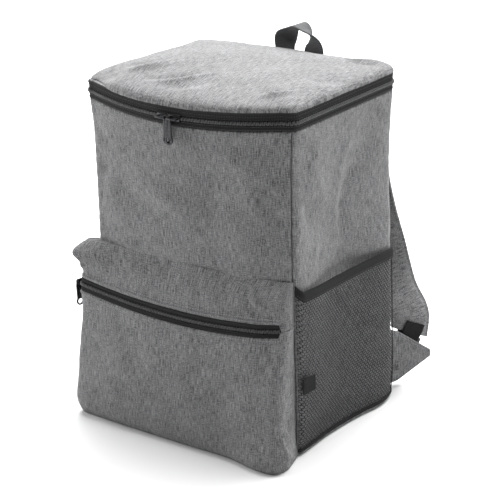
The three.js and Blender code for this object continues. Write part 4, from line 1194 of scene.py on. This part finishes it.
def pocket_normal(place, height):
    step = 0.01
    place = np.clip(place, 0.02, 4.98)
    height = np.clip(height, 0.02, 0.985)
    along = pocket_point(place + step, height) - pocket_point(place - step, height)
    up = pocket_point(place, height + step) - pocket_point(place, height - step)
    return unit(np.cross(along, up))


def pocket_out(place, height, depth):
    """The pocket's surface moved straight in by a depth, and kept off the bag."""
    place, height = np.broadcast_arrays(place, height)
    depth = np.broadcast_to(depth, place.shape)[..., None]
    points = pocket_point(place, height) - pocket_normal(place, height) * depth
    points[..., 1] = np.minimum(points[..., 1], front_face(points[..., 0], points[..., 2]) - POCKET_GAP)
    return points


def pocket_places(end, spacing):
    """Places from the pocket's left seam at an even spacing, with their distance from its middle."""
    fine = np.linspace(0, end, 1500)
    run = run_along(pocket_point(fine, np.full_like(fine, 0.5)))
    half = np.linspace(0, POCKET_MIDDLE, 1500)
    to_middle = run_along(pocket_point(half, np.full_like(half, 0.5)))
    at = spaced(0, run[-1], max(2, round(run[-1] / spacing)))
    return np.interp(at, run, fine), at - to_middle[-1]


def zip_levels():
    """Shares of the pocket's height at the zip's lower edge, middle and upper edge."""
    size, zip_size = pocket(), zips()
    half = zip_size.pocket_coil / 2 + 2 * SEAM_GAP + zip_size.pocket_tape
    return [(size.zip_height + d) / size.height for d in (-half, 0, half)]


def zip_end_place():
    """Place where the pocket's zip ends, round its right corner."""
    size = pocket()
    return 3 + size.zip_wrap / (size.corner * math.pi / 2)


def pocket_shell(name, place, level, run, seed, hem, swell):
    """A cloth of the pocket over a grid of places and levels. hem names its folded edge."""
    size = pocket()
    u, v = np.broadcast_to(run[:, None], place.shape), level * size.height
    outer = pocket_point(place, level)
    normal = normals_of(outer)
    from_low, from_top = v - v.min(1, keepdims=True), v.max(1, keepdims=True) - v
    to_hem = from_top if hem == "top" else from_low
    relief = HEM_RISE * (1 - ease(to_hem, *HEM_STEP)) - HEM_RISE * np.exp(-to_hem / HEM_FOLD)
    soft = 0.0006 * wrinkle(u, v, 0.022, seed) + 0.0011 * wrinkle(u, v, 0.06, seed + 4)
    inside = ease(np.minimum(from_low, from_top), 0.002, 0.02) * ease(level, 0.0, 0.06)
    ends = ease(place, 0.0, 0.5) * (1 - ease(place, 4.5, 5.0))
    relief += (soft * ease(level, 0.0, 0.06) + creased(u, v, POCKET_CREASES) * inside) * ends
    outer = outer + normal * relief[..., None]
    held = ((np.minimum(from_low, from_top) < 0.004) | (place < 0.3) | (place > 4.7)
            | (level < 0.03)).astype(float)
    outer = settle(outer, held, swell, 0.5, 0.0022)
    outer[..., 1] = np.minimum(outer[..., 1], front_face(outer[..., 0], outer[..., 2]) - POCKET_GAP)
    outer[..., 2] = np.maximum(outer[..., 2], size.floor)
    inner = pocket_point(place, level, size.fabric)
    return grid_mesh(name, outer, inner, (u, v))


def front_pocket():
    """Front pocket: a lower cloth, an upper cloth, the zip between them and a seam past its end."""
    size = pocket()
    low, middle, high = zip_levels()
    end = zip_end_place()
    places, run = pocket_places(POCKET_SEAM, POCKET_GRID)
    past = 1 - ease(places, end - 0.004, end)
    lower_levels = np.concatenate([[-1, -0.6, -0.3, -0.1, 0, 0.004, 0.01, 0.018, 0.028, 0.04],
                                   np.linspace(0.055, low - 0.03, 44),
                                   low - np.array([0.022, 0.018, 0.013, 0.008, 0.004, 0.0015, 0])])
    seam_half = SEAM_GAP / 2 / size.height

    def levels_to(fixed, base, edge):
        """Levels whose zip edge moves to the seam's level past the zip's end."""
        place, level = np.meshgrid(places, fixed, indexing="ij")
        share = ease(level, base, edge) if edge > base else ease(-level, -base, -edge)
        goal = middle - seam_half if edge > base else middle + seam_half
        shift = (goal - edge) * (1 - past)[:, None]
        return place, level + shift * share

    place, level = levels_to(lower_levels, low - 0.12, low)
    mesh = pocket_shell("pocket_front_panel", place, level, run, 21.7, "top", 0.007)
    lower = new_piece("pocket_front_panel", mesh, "melange_cloth",
                      replaces=["pocket_front_panel"])
    upper_levels = np.concatenate([high + np.array([0, 0.0015, 0.004, 0.008, 0.013, 0.018, 0.022]),
                                   np.linspace(high + 0.03, 1, 20)])
    place, level = levels_to(upper_levels, high + 0.1, high)
    mesh = pocket_shell("pocket_top_panel", place, level, run, 31.2, "low", 0.007)
    upper = new_piece("pocket_top_panel", mesh, "melange_cloth",
                      replaces=["pocket_top_panel"])
    size.height * low + size.depth
    size.height * (1 - high) + 0.022
    pocket_zip(low, middle, high, end)


def pocket_zip(low, middle, high, end):
    size, zip_size = pocket(), zips()
    places, run = pocket_places(end, POCKET_GRID)
    share = size.height
    coil = (size.zip_height - zip_size.pocket_coil / 2) / share
    tape = zip_size.pocket_tape / share
    gap = SEAM_GAP / share
    bottoms = coil - gap - tape, coil + zip_size.pocket_coil / share + gap
    zip_tapes("pocket", pocket_out, places, run, bottoms, tape)
    zip_core("pocket", pocket_out, places, run, coil, zip_size.pocket_coil / share)
    at = np.full_like(places, middle)
    normal = pocket_normal(places, at)
    line = pocket_out(places, at, -0.2 * MM)
    up = unit(pocket_point(places, at + 0.01) - pocket_point(places, at - 0.01))
    zip_teeth("pocket", line, normal, up, zip_size.pocket_coil)
    lines = []
    for level in (low - 0.0024 / share, high + 0.0022 / share, high + 0.0052 / share):
        height = np.full_like(places, level)
        lines.append((pocket_out(places, height, -0.95 * MM), pocket_normal(places, height)))
    stitches("pocket_zip_stitches", lines)


def net_top(place):
    along = (place - NET_START) / (NET_END - NET_START)
    return lerp(bag().net_front, bag().net_back, NET_AT["fall"](along))


NET_FLOOR = 0.005
NET_THICKNESS = 0.001
NET_STANDOFF = 0.003
NET_CLOSING = 0.045
NET_DENT = 0.5  # share of the side's fold that the net follows


def net_point(place, way, depth=0.0, above=0.0):
    """Points of the right net: way is 0 at its lower edge and 1 at its upper edge."""
    place, way = np.broadcast_arrays(place, way)
    height = lerp(NET_FLOOR, net_top(place), way) + above
    free = ease(height, NET_FLOOR, NET_FLOOR + NET_CLOSING)
    along = (place - NET_START) / (NET_END - NET_START)
    ends = 1 - (2 * along - 1) ** 4
    proud = SEAM_GAP + NET_THICKNESS + NET_STANDOFF * free * ends
    dent = NET_DENT * (1 - 0.6 * ease(way, 0.8, 1.0))
    slack = 0.0011 * np.sin(along * 19 + 2 * way) * free * ends * (1 - way) * 2 * way
    return wall_point(place, height, depth - proud - slack, 1 - free * (1 - dent))


def flipped(mesh, name):
    """A mirrored copy of a mesh for the left side."""
    copy = mesh.copy()
    copy.name = name
    copy.transform(Matrix.Scale(-1, 4, Vector((1, 0, 0))))
    copy.flip_normals()
    return copy


def both_sides(name, mesh, finish, declare=None, replaces=True):
    """Adds a piece on the right and its mirror image on the left."""
    for side, shape in (("right", mesh), ("left", flipped(mesh, name + "_left"))):
        own = f"{name}_{side}"
        piece = new_piece(own, shape, finish, replaces=[own] if replaces else ())
        if declare:
            declare(piece, side)


def net_mesh():
    """Knitted netting: staggered holes with rounded edges in a thin sheet."""
    places, run = places_along(NET_START, NET_END, NET_GRID, RIM_HEIGHT / 2)
    length = run[-1]
    cell = bag().net_cell
    columns = round(length / cell)
    rows = round(0.162 / (cell * 0.56))
    half_u, half_v = 0.5 / columns, 0.5 / rows * 2
    # A cell is a hexagon: its corners as shares of the half pitches, anticlockwise.
    corners = [(1, -0.34), (1, 0.34), (0, 0.66), (-1, 0.34), (-1, -0.34), (0, -0.66)]
    rings = ((1.0, 0.0), (0.9, 0.12), (0.8, 0.5))
    points, faces, index = [], [], {}

    def vertex(u, v, sink, layer):
        key = (round(u * columns * 60), round(v * rows * 60), layer, sink > 0)
        if key not in index:
            index[key] = len(points)
            points.append((u, v, sink, layer))
        return index[key]

    for row in range(rows):
        for column in range(columns + row % 2):
            cu = (column + 0.5 - 0.5 * (row % 2)) / columns
            cv = (row + 0.5) / rows
            for layer in (0, 1):
                loops = []
                for shrink, sink in rings:
                    loops.append([
                        vertex(min(max(cu + a * half_u * shrink, 0), 1),
                               min(max(cv + b * half_v * shrink, 0), 1), sink, layer)
                        for a, b in corners])
                if layer == 0:
                    outer = loops[-1]
                for first, second in zip(loops, loops[1:]):
                    for k in range(6):
                        j = (k + 1) % 6
                        faces.append((first[k], first[j], second[j], second[k]))
            inner = loops[-1]
            for k in range(6):
                j = (k + 1) % 6
                faces.append((outer[k], outer[j], inner[j], inner[k]))
    flat = np.array(points)
    place = np.interp(flat[:, 0] * length, run, places)
    thickness = 0.55 * NET_THICKNESS
    depth = np.where(flat[:, 3] == 0, flat[:, 2] * thickness, thickness * (1 - flat[:, 2] * 0.9))
    solid = net_point(place, flat[:, 1], depth)
    cloth = np.stack([flat[:, 0] * length, flat[:, 1] * 0.16, flat[:, 3] * 0.001], -1)

    def close_rim(made):
        bmesh.ops.dissolve_degenerate(made, edges=made.edges, dist=1e-6)
        bmesh.ops.bridge_loops(made, edges=[e for e in made.edges if e.is_boundary])

    return built_mesh("mesh_pocket_right", solid.tolist(), faces, NET_EDGES, cloth, close_rim)


def side_nets():
    """Net pockets on both sides, with their bindings, lower edging and stitches."""
    both_sides("mesh_pocket", net_mesh(), "net_yarn",
               lambda piece, side: piece)
    places, run = places_along(NET_START, NET_END, BINDING_GRID, RIM_HEIGHT / 2)

    def binding_point(place, level, depth):
        return net_point(place, np.ones_like(place), depth - (BINDING_THICKNESS - NET_THICKNESS), level)

    mesh = band_mesh("mesh_binding_right", binding_point, places, run, SEAM_GAP - 0.001,
                     BINDING_HEIGHT, BINDING_THICKNESS, BINDING_PROFILE)
    both_sides("mesh_binding", mesh, "binding_cloth")

    def edging_point(place, level, depth):
        return net_point(place, np.zeros_like(place), depth - 0.0005, level)

    edging = band_mesh("net_edging_right", edging_point, places, run, -0.001, 0.004, 0.0012,
                       EDGING_PROFILE)
    both_sides("net_edging", edging, "binding_cloth", replaces=False)
    line = binding_point(places, np.full_like(places, 0.0018), np.full_like(places, -0.1 * MM))
    normal = normals_of(np.stack([line, line + [0, 0, 0.001]], 1))[:, 0]
    stitches_both_sides("mesh_binding_stitches", [(line, normal)], spacing=0.003, length=0.002,
                        thick=0.00024, finish="black_thread", slot="black_trim")


def side_tag():
    """A bare folded tag out of the front seam, on the right net."""
    low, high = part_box("side_tag")
    side = bag().depth - bag().front_radius - bag().back_radius
    end = 2 + TAG_WIDTH / side
    places = np.linspace((NET_START + 2) / 2, end, 15)
    run = np.linspace(0, high.y - low.y, 15)

    def point(place, level, depth):
        way = (level - NET_FLOOR) / (net_top(place) - NET_FLOOR)
        curl = 0.0012 * ease(place, 2.0, end) ** 2
        return net_point(place, way, depth - SEAM_GAP - TAG_THICKNESS - curl)

    mesh = band_mesh("side_tag", point, places, run, low.z, high.z - low.z, TAG_THICKNESS,
                     TAG_PROFILE)
    new_piece("side_tag", mesh, "tag_cloth", replaces=["side_tag"])


def spline(points, steps):
    """Centripetal Catmull-Rom curve through points, at even shares of its length."""
    points = np.array(points, float)
    ends = [2 * points[0] - points[1], *points, 2 * points[-1] - points[-2]]
    fine = []
    for p0, p1, p2, p3 in zip(ends, ends[1:], ends[2:], ends[3:]):
        t01, t12, t23 = [max(np.linalg.norm(b - a) ** 0.5, 1e-6)
                         for a, b in ((p0, p1), (p1, p2), (p2, p3))]
        m1 = (p1 - p0) / t01 - (p2 - p0) / (t01 + t12) + (p2 - p1) / t12
        m2 = (p2 - p1) / t12 - (p3 - p1) / (t12 + t23) + (p3 - p2) / t23
        m1, m2 = m1 * t12, m2 * t12
        for s in np.linspace(0, 1, 60, endpoint=False):
            fine.append((2 * s**3 - 3 * s**2 + 1) * p1 + (s**3 - 2 * s**2 + s) * m1
                        + (3 * s**2 - 2 * s**3) * p2 + (s**3 - s**2) * m2)
    fine = np.array([*fine, points[-1]])
    run = run_along(fine)
    at = np.linspace(0, run[-1], steps + 1)
    curve = sampled(fine, run, at)
    return curve, np.gradient(curve, axis=0), at


def strip_frames(tangent, across):
    """Directions across and out of a strip whose width should lie along across."""
    out = unit(np.cross(tangent, across))
    return unit(np.cross(out, tangent)), out


def swept_mesh(name, curve, across, out, section, run):
    """A strip swept along a curve. section(i) gives [across, out] pairs round it."""
    sections = np.array([section(i) for i in range(len(curve))])
    points = (curve[:, None] + across[:, None] * sections[..., :1] + out[:, None] * sections[..., 1:])
    sides = sections.shape[1]
    n = len(curve)
    faces = []
    for i in range(n - 1):
        for k in range(sides):
            j = (k + 1) % sides
            faces.append((i * sides + k, (i + 1) * sides + k, (i + 1) * sides + j, i * sides + j))
    for end in (0, n - 1):
        first = end * sides
        faces.append(tuple(range(first, first + sides)))
    cloth = np.zeros((n, sides, 3))
    cloth[..., 0] = run[:, None]
    cloth[..., 1] = sections[..., 0]
    return built_mesh(name, points.reshape(-1, 3).tolist(), faces, STRIP_EDGE, cloth)


def webbing_section(width, thickness):
    """Round the section of webbing: flat faces with a low rib by each edge, and rounded edges."""
    half, flat = width / 2, thickness / 2
    shares = (-0.96, -0.88, -0.8, -0.4, 0.0, 0.4, 0.8, 0.88, 0.96)
    rises = (0.86, 1.0, 0.9, 0.93, 0.94, 0.93, 0.9, 1.0, 0.86)
    upper = [(half * s, flat * r) for s, r in zip(shares, rises)]
    right = [(half, flat * 0.3), (half, -flat * 0.3)]
    lower = [(half * s, -flat * r) for s, r in reversed(list(zip(shares, rises)))]
    left = [(-half, -flat * 0.3), (-half, flat * 0.3)]
    return [*upper, *right, *lower, *left]


def carry_handle():
    """Webbing loop sewn to the back panel, with a box of stitches on each foot."""
    size = straps()
    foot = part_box("carry_handle")[0].z
    y = BACK_HIGH.y + SEAM_GAP + size.handle_thickness / 2
    half = size.handle_spread / 2
    middle = HANDLE_OFFSET
    top = LID_SEAM + size.handle_rise
    shoulder, bend = top - 0.3 * half, 0.55 * half
    route = [(-half, foot), (-half, LID_SEAM), (-half, top - half), (-bend, shoulder), (0, top),
             (bend, shoulder), (half, top - half), (half, LID_SEAM), (half, foot)]
    curve, tangent, run = spline([(x + middle, y, z) for x, z in route], 96)
    t = np.linspace(0, 1, len(curve))
    turn = ease(np.minimum(t, 1 - t), 0.2, 0.5) * math.pi / 2
    sign = np.where(t <= 0.5, 1.0, -1.0)
    want = np.stack([np.cos(turn) * sign, np.sin(turn), 0 * t], -1)
    across, out = strip_frames(tangent, want)
    section = webbing_section(size.webbing, size.handle_thickness)
    mesh = swept_mesh("carry_handle", curve, across, out, lambda i: section, run)
    new_piece("carry_handle", mesh, "webbing_cloth",
              replaces=["carry_handle"])
    lines = []
    out = BACK_HIGH.y + SEAM_GAP + size.handle_thickness + 0.05 * MM
    for side in (-1, 1):
        x0 = middle + side * half - size.webbing / 2 + 0.003
        x1 = x0 + size.webbing - 0.006
        z0, z1 = foot + 0.0025, foot + 0.0165
        corners = [(x0, z0), (x1, z0), (x1, z1), (x0, z1), (x0, z0)]
        routes = [*zip(corners, corners[1:]), ((x0, z0), (x1, z1)), ((x1, z0), (x0, z1))]
        for (xa, za), (xb, zb) in routes:
            lines.append((np.array([(xa, out, za), (xb, out, zb)]),
                          np.array([(0.0, 1.0, 0.0), (0.0, 1.0, 0.0)])))
    stitches("carry_handle_stitches", lines, 0.0024, 0.0018, 0.0003, finish="black_thread",
             slot="webbing")


def wing_plane():
    """Start, outward and inward directions of the wing in the right back corner."""
    low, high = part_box("strap_tab_right")
    middle = (low.z + high.z) / 2
    x, y = outline(np.array(WING_PLACE), np.array(middle))
    out_x, out_y = outwards(np.array(WING_PLACE), np.array(middle))
    out = np.array([out_x, out_y, 0.0])
    start = np.array([x, y, 0.0]) + out * (SEAM_GAP + WING_THICKNESS / 2)
    return start, out, np.array([-out_y, out_x, 0.0])


def strap_end():
    """Place and directions of the strap's lower end, and how far its webbing lies from it."""
    start, wing_out, inner = wing_plane()
    size = straps()
    reach = math.hypot(LOCK_BAR, LOCK_THICKNESS) / 2 + SEAM_GAP + size.webbing_thickness / 2
    spread = size.strap_thickness / 2 + size.link_clearance + size.webbing_thickness / 2
    distance = max(reach, spread) + size.webbing_thickness / 2 + SEAM_GAP + WING_THICKNESS / 2
    centre = start + wing_out * size.end_reach + inner * distance
    centre[2] = size.end_height
    upright = np.array([0.0, 0.0, 1.0])
    tilt_cos, tilt_sin = math.cos(size.end_tilt), math.sin(size.end_tilt)
    return {
        "centre": centre,
        "across": wing_out * tilt_cos - upright * tilt_sin,
        "up": wing_out * tilt_sin + upright * tilt_cos,
        "out": -inner,
        "reach": reach,
        "spread": spread,
        "distance": distance,
    }


def padded_section(width, thickness):
    """Round the section of a padded strap: a soft middle, a sewn channel and a bound edge."""
    half, full = width / 2, thickness / 2
    rows = ((-1.0, 0.0), (-0.99, 0.36), (-0.95, 0.5), (-0.9, 0.5), (-0.86, 0.42), (-0.8, 0.66),
            (-0.68, 0.88), (-0.5, 0.98), (-0.25, 1.02), (0.0, 1.03))
    left = [(half * a, full * b) for a, b in rows]
    upper = left + [(-a, b) for a, b in left[-2::-1]]
    lower = [(a, -b) for a, b in upper[-2:0:-1]]
    return [*upper, *lower]


def shoulder_straps():
    """Padded straps, with topstitching along both edges on both faces."""
    size = straps()
    end = strap_end()
    top = np.array([STRAP_TOP_OFFSET, BACK_HIGH.y + SEAM_GAP + size.strap_thickness / 2,
                    LID_SEAM - STRAP_TOP_DROP])
    route = []
    for row in STRAP_STATIONS:
        point = lerp(top, end["centre"], row["way"])
        point[1] += row["out"] * size.strap_bulge
        point[2] = lerp(top[2], end["centre"][2], row["down"])
        route.append(point)
    curve, tangent, run = spline(route, 110)
    t = np.linspace(0, len(STRAP_STATIONS) - 1, len(curve))
    full_turn = math.atan2(end["across"][1], end["across"][0])
    turn = full_turn * np.clip(STRAP_AT["turn"](t), 0, 1)
    want = np.stack([np.cos(turn), np.sin(turn), 0 * t], -1)
    across, out = strip_frames(tangent, want)
    tilting = ease(run / run[-1], 0.9, 1.0)[:, None]
    across = unit(lerp(across, end["across"], tilting))
    out = unit(lerp(out, end["out"], tilting))
    widths = lerp(size.strap, size.strap_end, np.clip(STRAP_AT["width"](t), 0, 1))
    soft = [0.97 + 0.03 * noise.noise((r * 34, 0.3, 1.7)) for r in run]
    mesh = swept_mesh("shoulder_strap_right", curve, across, out,
                      lambda i: padded_section(widths[i], size.strap_thickness * soft[i]), run)
    both_sides("shoulder_strap", mesh, "melange_cloth",
               lambda piece, side: piece)
    lines = []
    for edge in (-1, 1):
        for face in (-1, 1):
            line = (curve + across * (edge * 0.43 * widths[:, None])
                    + out * (face * size.strap_thickness * 0.215))
            lines.append((line, out * face))
    stitches_both_sides("shoulder_strap_stitches", lines, spacing=0.0034, length=0.0023)


def strap_hardware():
    """Webbing round the ladder locks, the locks themselves and the cloth wings."""
    size = straps()
    end = strap_end()
    reach, spread = end["reach"], end["spread"]

    def webbing_route(points):
        return [end["centre"] + end["up"] * up + end["out"] * out for up, out in points]

    def round_bar(centre, over):
        turns = np.linspace(0, math.pi, 5)
        return [(centre + over * reach * math.sin(a), -reach * math.cos(a)) for a in turns]

    def strip(name, points):
        curve, tangent, run = spline(webbing_route(points), 60)
        want = np.tile(end["across"], (len(curve), 1))
        across, out = strip_frames(tangent, want)
        section = webbing_section(size.webbing, size.webbing_thickness)
        mesh = swept_mesh(name + "_right", curve, across, out, lambda i: section, run)
        both_sides(name, mesh, "black_webbing")

    upper_bar = -size.lock_margin - LOCK_BAR / 2
    arm = size.link_length
    strip("strap_link", [(arm, -spread), (0.002, -spread), *round_bar(upper_bar, -1),
                         (0.002, spread), (arm, spread)])
    lower_bar = -size.lock_margin - LOCK_HEIGHT + LOCK_BAR / 2
    wing_low, wing_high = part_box("strap_tab_right")
    sewn = wing_low.z + (wing_high.z - wing_low.z) / 5 - size.end_height
    wing_side = end["distance"] - WING_THICKNESS / 2 - SEAM_GAP - size.webbing_thickness / 2
    strip("strap_webbing", [(lower_bar - WEBBING_TAIL, -reach), (lower_bar - WEBBING_TAIL / 2, -reach),
                            *round_bar(lower_bar, 1), ((sewn + lower_bar) / 2, wing_side),
                            (sewn, wing_side)])
    for side in ("right", "left"):
        bevelled_copy(f"strap_buckle_{side}", "moulded_plastic", "bag", 0.0007)
        wing_tab(side)


def wing_tab(side):
    """A triangle of folded cloth with soft edges, sewn into the back corner."""
    start, out, inner = wing_plane()
    low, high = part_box(f"strap_tab_{side}")
    middle = (low.z + high.z) / 2
    us = np.linspace(0, 1, 34)
    vs = spaced(0, 1, 30, (0.01, 0.025))
    u, v = np.meshgrid(us, vs, indexing="ij")
    half = lerp((high.z - low.z) / 2, WING_TIP / 2, u)
    z = middle - WING_DROOP * u + (2 * v - 1) * half
    flip = np.array([1 if side == "right" else -1, 1, 1])
    centre = start + out * (u * WING_REACH)[..., None]
    seam = wall_point(np.full_like(z, WING_PLACE), z, WING_SUNK)
    centre = lerp(centre, seam, (1 - ease(u, 0.0, 0.2))[..., None])
    centre[..., 2] = z
    edge = np.minimum(np.minimum(v, 1 - v) * 2 * half, (1 - u) * WING_REACH)
    channel = 0.12 * np.exp(-(((edge - WING_CHANNEL) / 0.0008) ** 2))
    thick = WING_THICKNESS / 2 * (0.35 + 0.65 * ease(edge, 0.0, 0.0012) - channel)
    soft = 0.0006 * wrinkle(u * WING_REACH, z, 0.02, 3.3) * ease(edge, 0.0, 0.01)
    faces = [(centre + inner * (sign * thick + soft)[..., None]) * flip for sign in (1, -1)]
    name = f"strap_tab_{side}"
    mesh = grid_mesh(name, faces[0], faces[1], (u * WING_REACH, z))
    piece = new_piece(name, mesh, "melange_cloth", replaces=[name])
    lines = []
    for v_edge in (0, 1):
        line = []
        for share in (0.03, 0.9):
            from_middle = lerp(WING_HALF_SEAM, WING_TIP / 2, share) - WING_CHANNEL
            height = middle - WING_DROOP * share + (2 * v_edge - 1) * from_middle
            line.append([*(start + out * share * WING_REACH)[:2], height])
        for sign in (1, -1):
            shifted = np.array(line) + inner * sign * WING_THICKNESS * 0.46
            lines.append((shifted * flip, np.tile(inner * sign * flip, (2, 1))))
    stitches(f"strap_tab_stitches_{side}", lines, 0.0032, 0.0022, 0.0003)


def bevelled_copy(node, finish, body, width):
    """A copy of a hard CAD node with its flat faces joined and its edges rounded."""
    made = bmesh.new()
    made.from_mesh(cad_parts[node].data)
    bmesh.ops.remove_doubles(made, verts=made.verts, dist=1e-6)
    bmesh.ops.dissolve_limit(made, angle_limit=math.radians(2), verts=made.verts, edges=made.edges)
    sharp = [e for e in made.edges
             if len(e.link_faces) == 2 and e.calc_face_angle(0) > math.radians(35)]
    bmesh.ops.bevel(made, geom=sharp, offset=width, offset_type="OFFSET", segments=2,
                    profile=0.5, affect="EDGES", clamp_overlap=True)
    bmesh.ops.recalc_face_normals(made, faces=made.faces)
    mesh = bpy.data.meshes.new(node + "_finish")
    made.to_mesh(mesh)
    made.free()
    smooth_mesh(mesh, STRIP_EDGE)
    return new_piece(node + "_finish", mesh, finish, body, replaces=[node])


def zip_hardware():
    """Sliders and pulls of both zips, plated in dark nickel."""
    for slider in ("main_slider_left", "main_slider_right", "pocket_slider"):
        bevelled_copy(slider, "dark_nickel", "bag", 0.0003)
    for pull, body in (("main_pull_left", "lid_pull_left"), ("main_pull_right", "lid_pull_right"),
                       ("pocket_pull", "front_pocket_pull")):
        bevelled_copy(pull, "dark_nickel", body, 0.0003)


# Camera of the photograph: where it stands, and how it is turned, in metres and degrees.
CAMERA_PLACE = (0.96599, -1.33136, 0.7884)
CAMERA_YAW = 35.82
CAMERA_PITCH = 20.44
CAMERA_ROLL = -1.545
CAMERA_LENS = 115.47
SENSOR = 36.0

# Soft lights: place, size and power in watts.
LIGHTS = named_rows(
    "name place size power",
    ("top_softbox", (-0.3, 1.7, 3.0), 5.0, 570),
    ("right_softbox", (2.5, -0.3, 1.2), 1.8, 14),
    ("left_softbox", (-2.6, -0.9, 1.1), 1.8, 85),
)


def stage():
    """Pale floor, soft lights and the photograph's camera."""
    floor_mesh = bpy.data.meshes.new("floor")
    half = 9.0
    floor_mesh.from_pydata([(-half, -half, 0), (half, -half, 0), (half, half, 0), (-half, half, 0)],
                           [], [(0, 1, 2, 3)])
    floor_mesh.materials.append(material("pale_floor"))
    floor = bpy.data.objects.new("floor", floor_mesh)
    floor.location.z = -0.0002
    bpy.context.scene.collection.objects.link(floor)

    for light in LIGHTS:
        data = bpy.data.lights.new(light["name"], "AREA")
        data.shape = "DISK"
        data.size = light["size"]
        data.energy = light["power"]
        lamp = bpy.data.objects.new(light["name"], data)
        lamp.location = light["place"]
        aim = Vector((0, 0, 0.2)) - lamp.location
        lamp.rotation_euler = aim.to_track_quat("-Z", "Y").to_euler()
        bpy.context.scene.collection.objects.link(lamp)

    world = bpy.data.worlds.new("studio")
    world.use_nodes = True
    world.node_tree.nodes["Background"].inputs[0].default_value = (1, 1, 1, 1)
    world.node_tree.nodes["Background"].inputs[1].default_value = 0.12
    bpy.context.scene.world = world
    bpy.context.scene.view_settings.view_transform = "Standard"

    data = bpy.data.cameras.new("camera")
    data.sensor_width = SENSOR
    data.lens = CAMERA_LENS
    camera = bpy.data.objects.new("camera", data)
    turn = (Matrix.Rotation(math.radians(CAMERA_YAW), 4, "Z")
            @ Matrix.Rotation(math.radians(90 - CAMERA_PITCH), 4, "X")
            @ Matrix.Rotation(math.radians(CAMERA_ROLL), 4, "Z"))
    camera.matrix_world = Matrix.Translation(CAMERA_PLACE) @ turn
    bpy.context.scene.collection.objects.link(camera)
    bpy.context.scene.camera = camera


class AddStage(bpy.types.Operator):
    """Add the floor, the lights and the camera"""
    bl_idname = "backpack.add_stage"
    bl_label = "Stage"

    def execute(self, context):
        stage()
        return {"FINISHED"}


class AddBoxPanels(bpy.types.Operator):
    """Add the padded front, side, back and base panels"""
    bl_idname = "backpack.add_box_panels"
    bl_label = "Box panels"

    def execute(self, context):
        box_panels()
        return {"FINISHED"}


class AddLid(bpy.types.Operator):
    """Add the padded lid"""
    bl_idname = "backpack.add_lid"
    bl_label = "Lid"

    def execute(self, context):
        lid()
        return {"FINISHED"}


class AddMainZip(bpy.types.Operator):
    """Add the tapes, teeth and stitches of the main zip"""
    bl_idname = "backpack.add_main_zip"
    bl_label = "Main zip"

    def execute(self, context):
        main_zip()
        return {"FINISHED"}


class AddZipHardware(bpy.types.Operator):
    """Add the sliders and pulls of both zips"""
    bl_idname = "backpack.add_zip_hardware"
    bl_label = "Sliders and pulls"

    def execute(self, context):
        zip_hardware()
        return {"FINISHED"}


class AddFrontPocket(bpy.types.Operator):
    """Add the front pocket with its zip"""
    bl_idname = "backpack.add_front_pocket"
    bl_label = "Front pocket"

    def execute(self, context):
        front_pocket()
        return {"FINISHED"}


class AddSideNets(bpy.types.Operator):
    """Add the mesh side pockets with their bindings"""
    bl_idname = "backpack.add_side_nets"
    bl_label = "Side nets"

    def execute(self, context):
        side_nets()
        return {"FINISHED"}


class AddSideTag(bpy.types.Operator):
    """Add the bare tag on the right side"""
    bl_idname = "backpack.add_side_tag"
    bl_label = "Side tag"

    def execute(self, context):
        side_tag()
        return {"FINISHED"}


class AddCarryHandle(bpy.types.Operator):
    """Add the carry handle"""
    bl_idname = "backpack.add_carry_handle"
    bl_label = "Carry handle"

    def execute(self, context):
        carry_handle()
        return {"FINISHED"}


class AddShoulderStraps(bpy.types.Operator):
    """Add the padded shoulder straps"""
    bl_idname = "backpack.add_shoulder_straps"
    bl_label = "Shoulder straps"

    def execute(self, context):
        shoulder_straps()
        return {"FINISHED"}


class AddStrapHardware(bpy.types.Operator):
    """Add the webbing, ladder locks and wings under the straps"""
    bl_idname = "backpack.add_strap_hardware"
    bl_label = "Ladder locks and wings"

    def execute(self, context):
        strap_hardware()
        return {"FINISHED"}


STEPS = (AddStage, AddBoxPanels, AddLid, AddMainZip, AddZipHardware, AddFrontPocket, AddSideNets,
         AddSideTag, AddCarryHandle, AddShoulderStraps, AddStrapHardware)
GROUPS = {
    "backpack_bag": BagSizes,
    "backpack_zips": ZipSizes,
    "backpack_pocket": PocketSizes,
    "backpack_straps": StrapSizes,
    "backpack_colours": ClothColours,
}


class BackpackPanel(bpy.types.Panel):
    """Lists the steps that build the backpack"""
    bl_idname = "VIEW3D_PT_backpack"
    bl_label = "Backpack"
    bl_space_type = "VIEW_3D"
    bl_region_type = "UI"
    bl_category = "Backpack"

    def draw(self, context):
        for step in STEPS:
            self.layout.operator(step.bl_idname)


def register():
    for cls in (*GROUPS.values(), *STEPS, BackpackPanel):
        bpy.utils.register_class(cls)
    for name, group in GROUPS.items():
        setattr(bpy.types.Scene, name, bpy.props.PointerProperty(type=group))


def unregister():
    for name in GROUPS:
        delattr(bpy.types.Scene, name)
    for cls in reversed((*GROUPS.values(), *STEPS, BackpackPanel)):
        bpy.utils.unregister_class(cls)


def main():
    register()
    bpy.ops.backpack.add_stage()
    bpy.ops.backpack.add_box_panels()
    bpy.ops.backpack.add_lid()
    bpy.ops.backpack.add_main_zip()
    bpy.ops.backpack.add_zip_hardware()
    bpy.ops.backpack.add_front_pocket()
    bpy.ops.backpack.add_side_nets()
    bpy.ops.backpack.add_side_tag()
    bpy.ops.backpack.add_carry_handle()
    bpy.ops.backpack.add_shoulder_straps()
    bpy.ops.backpack.add_strap_hardware()


if __name__ == "__main__":
    main()
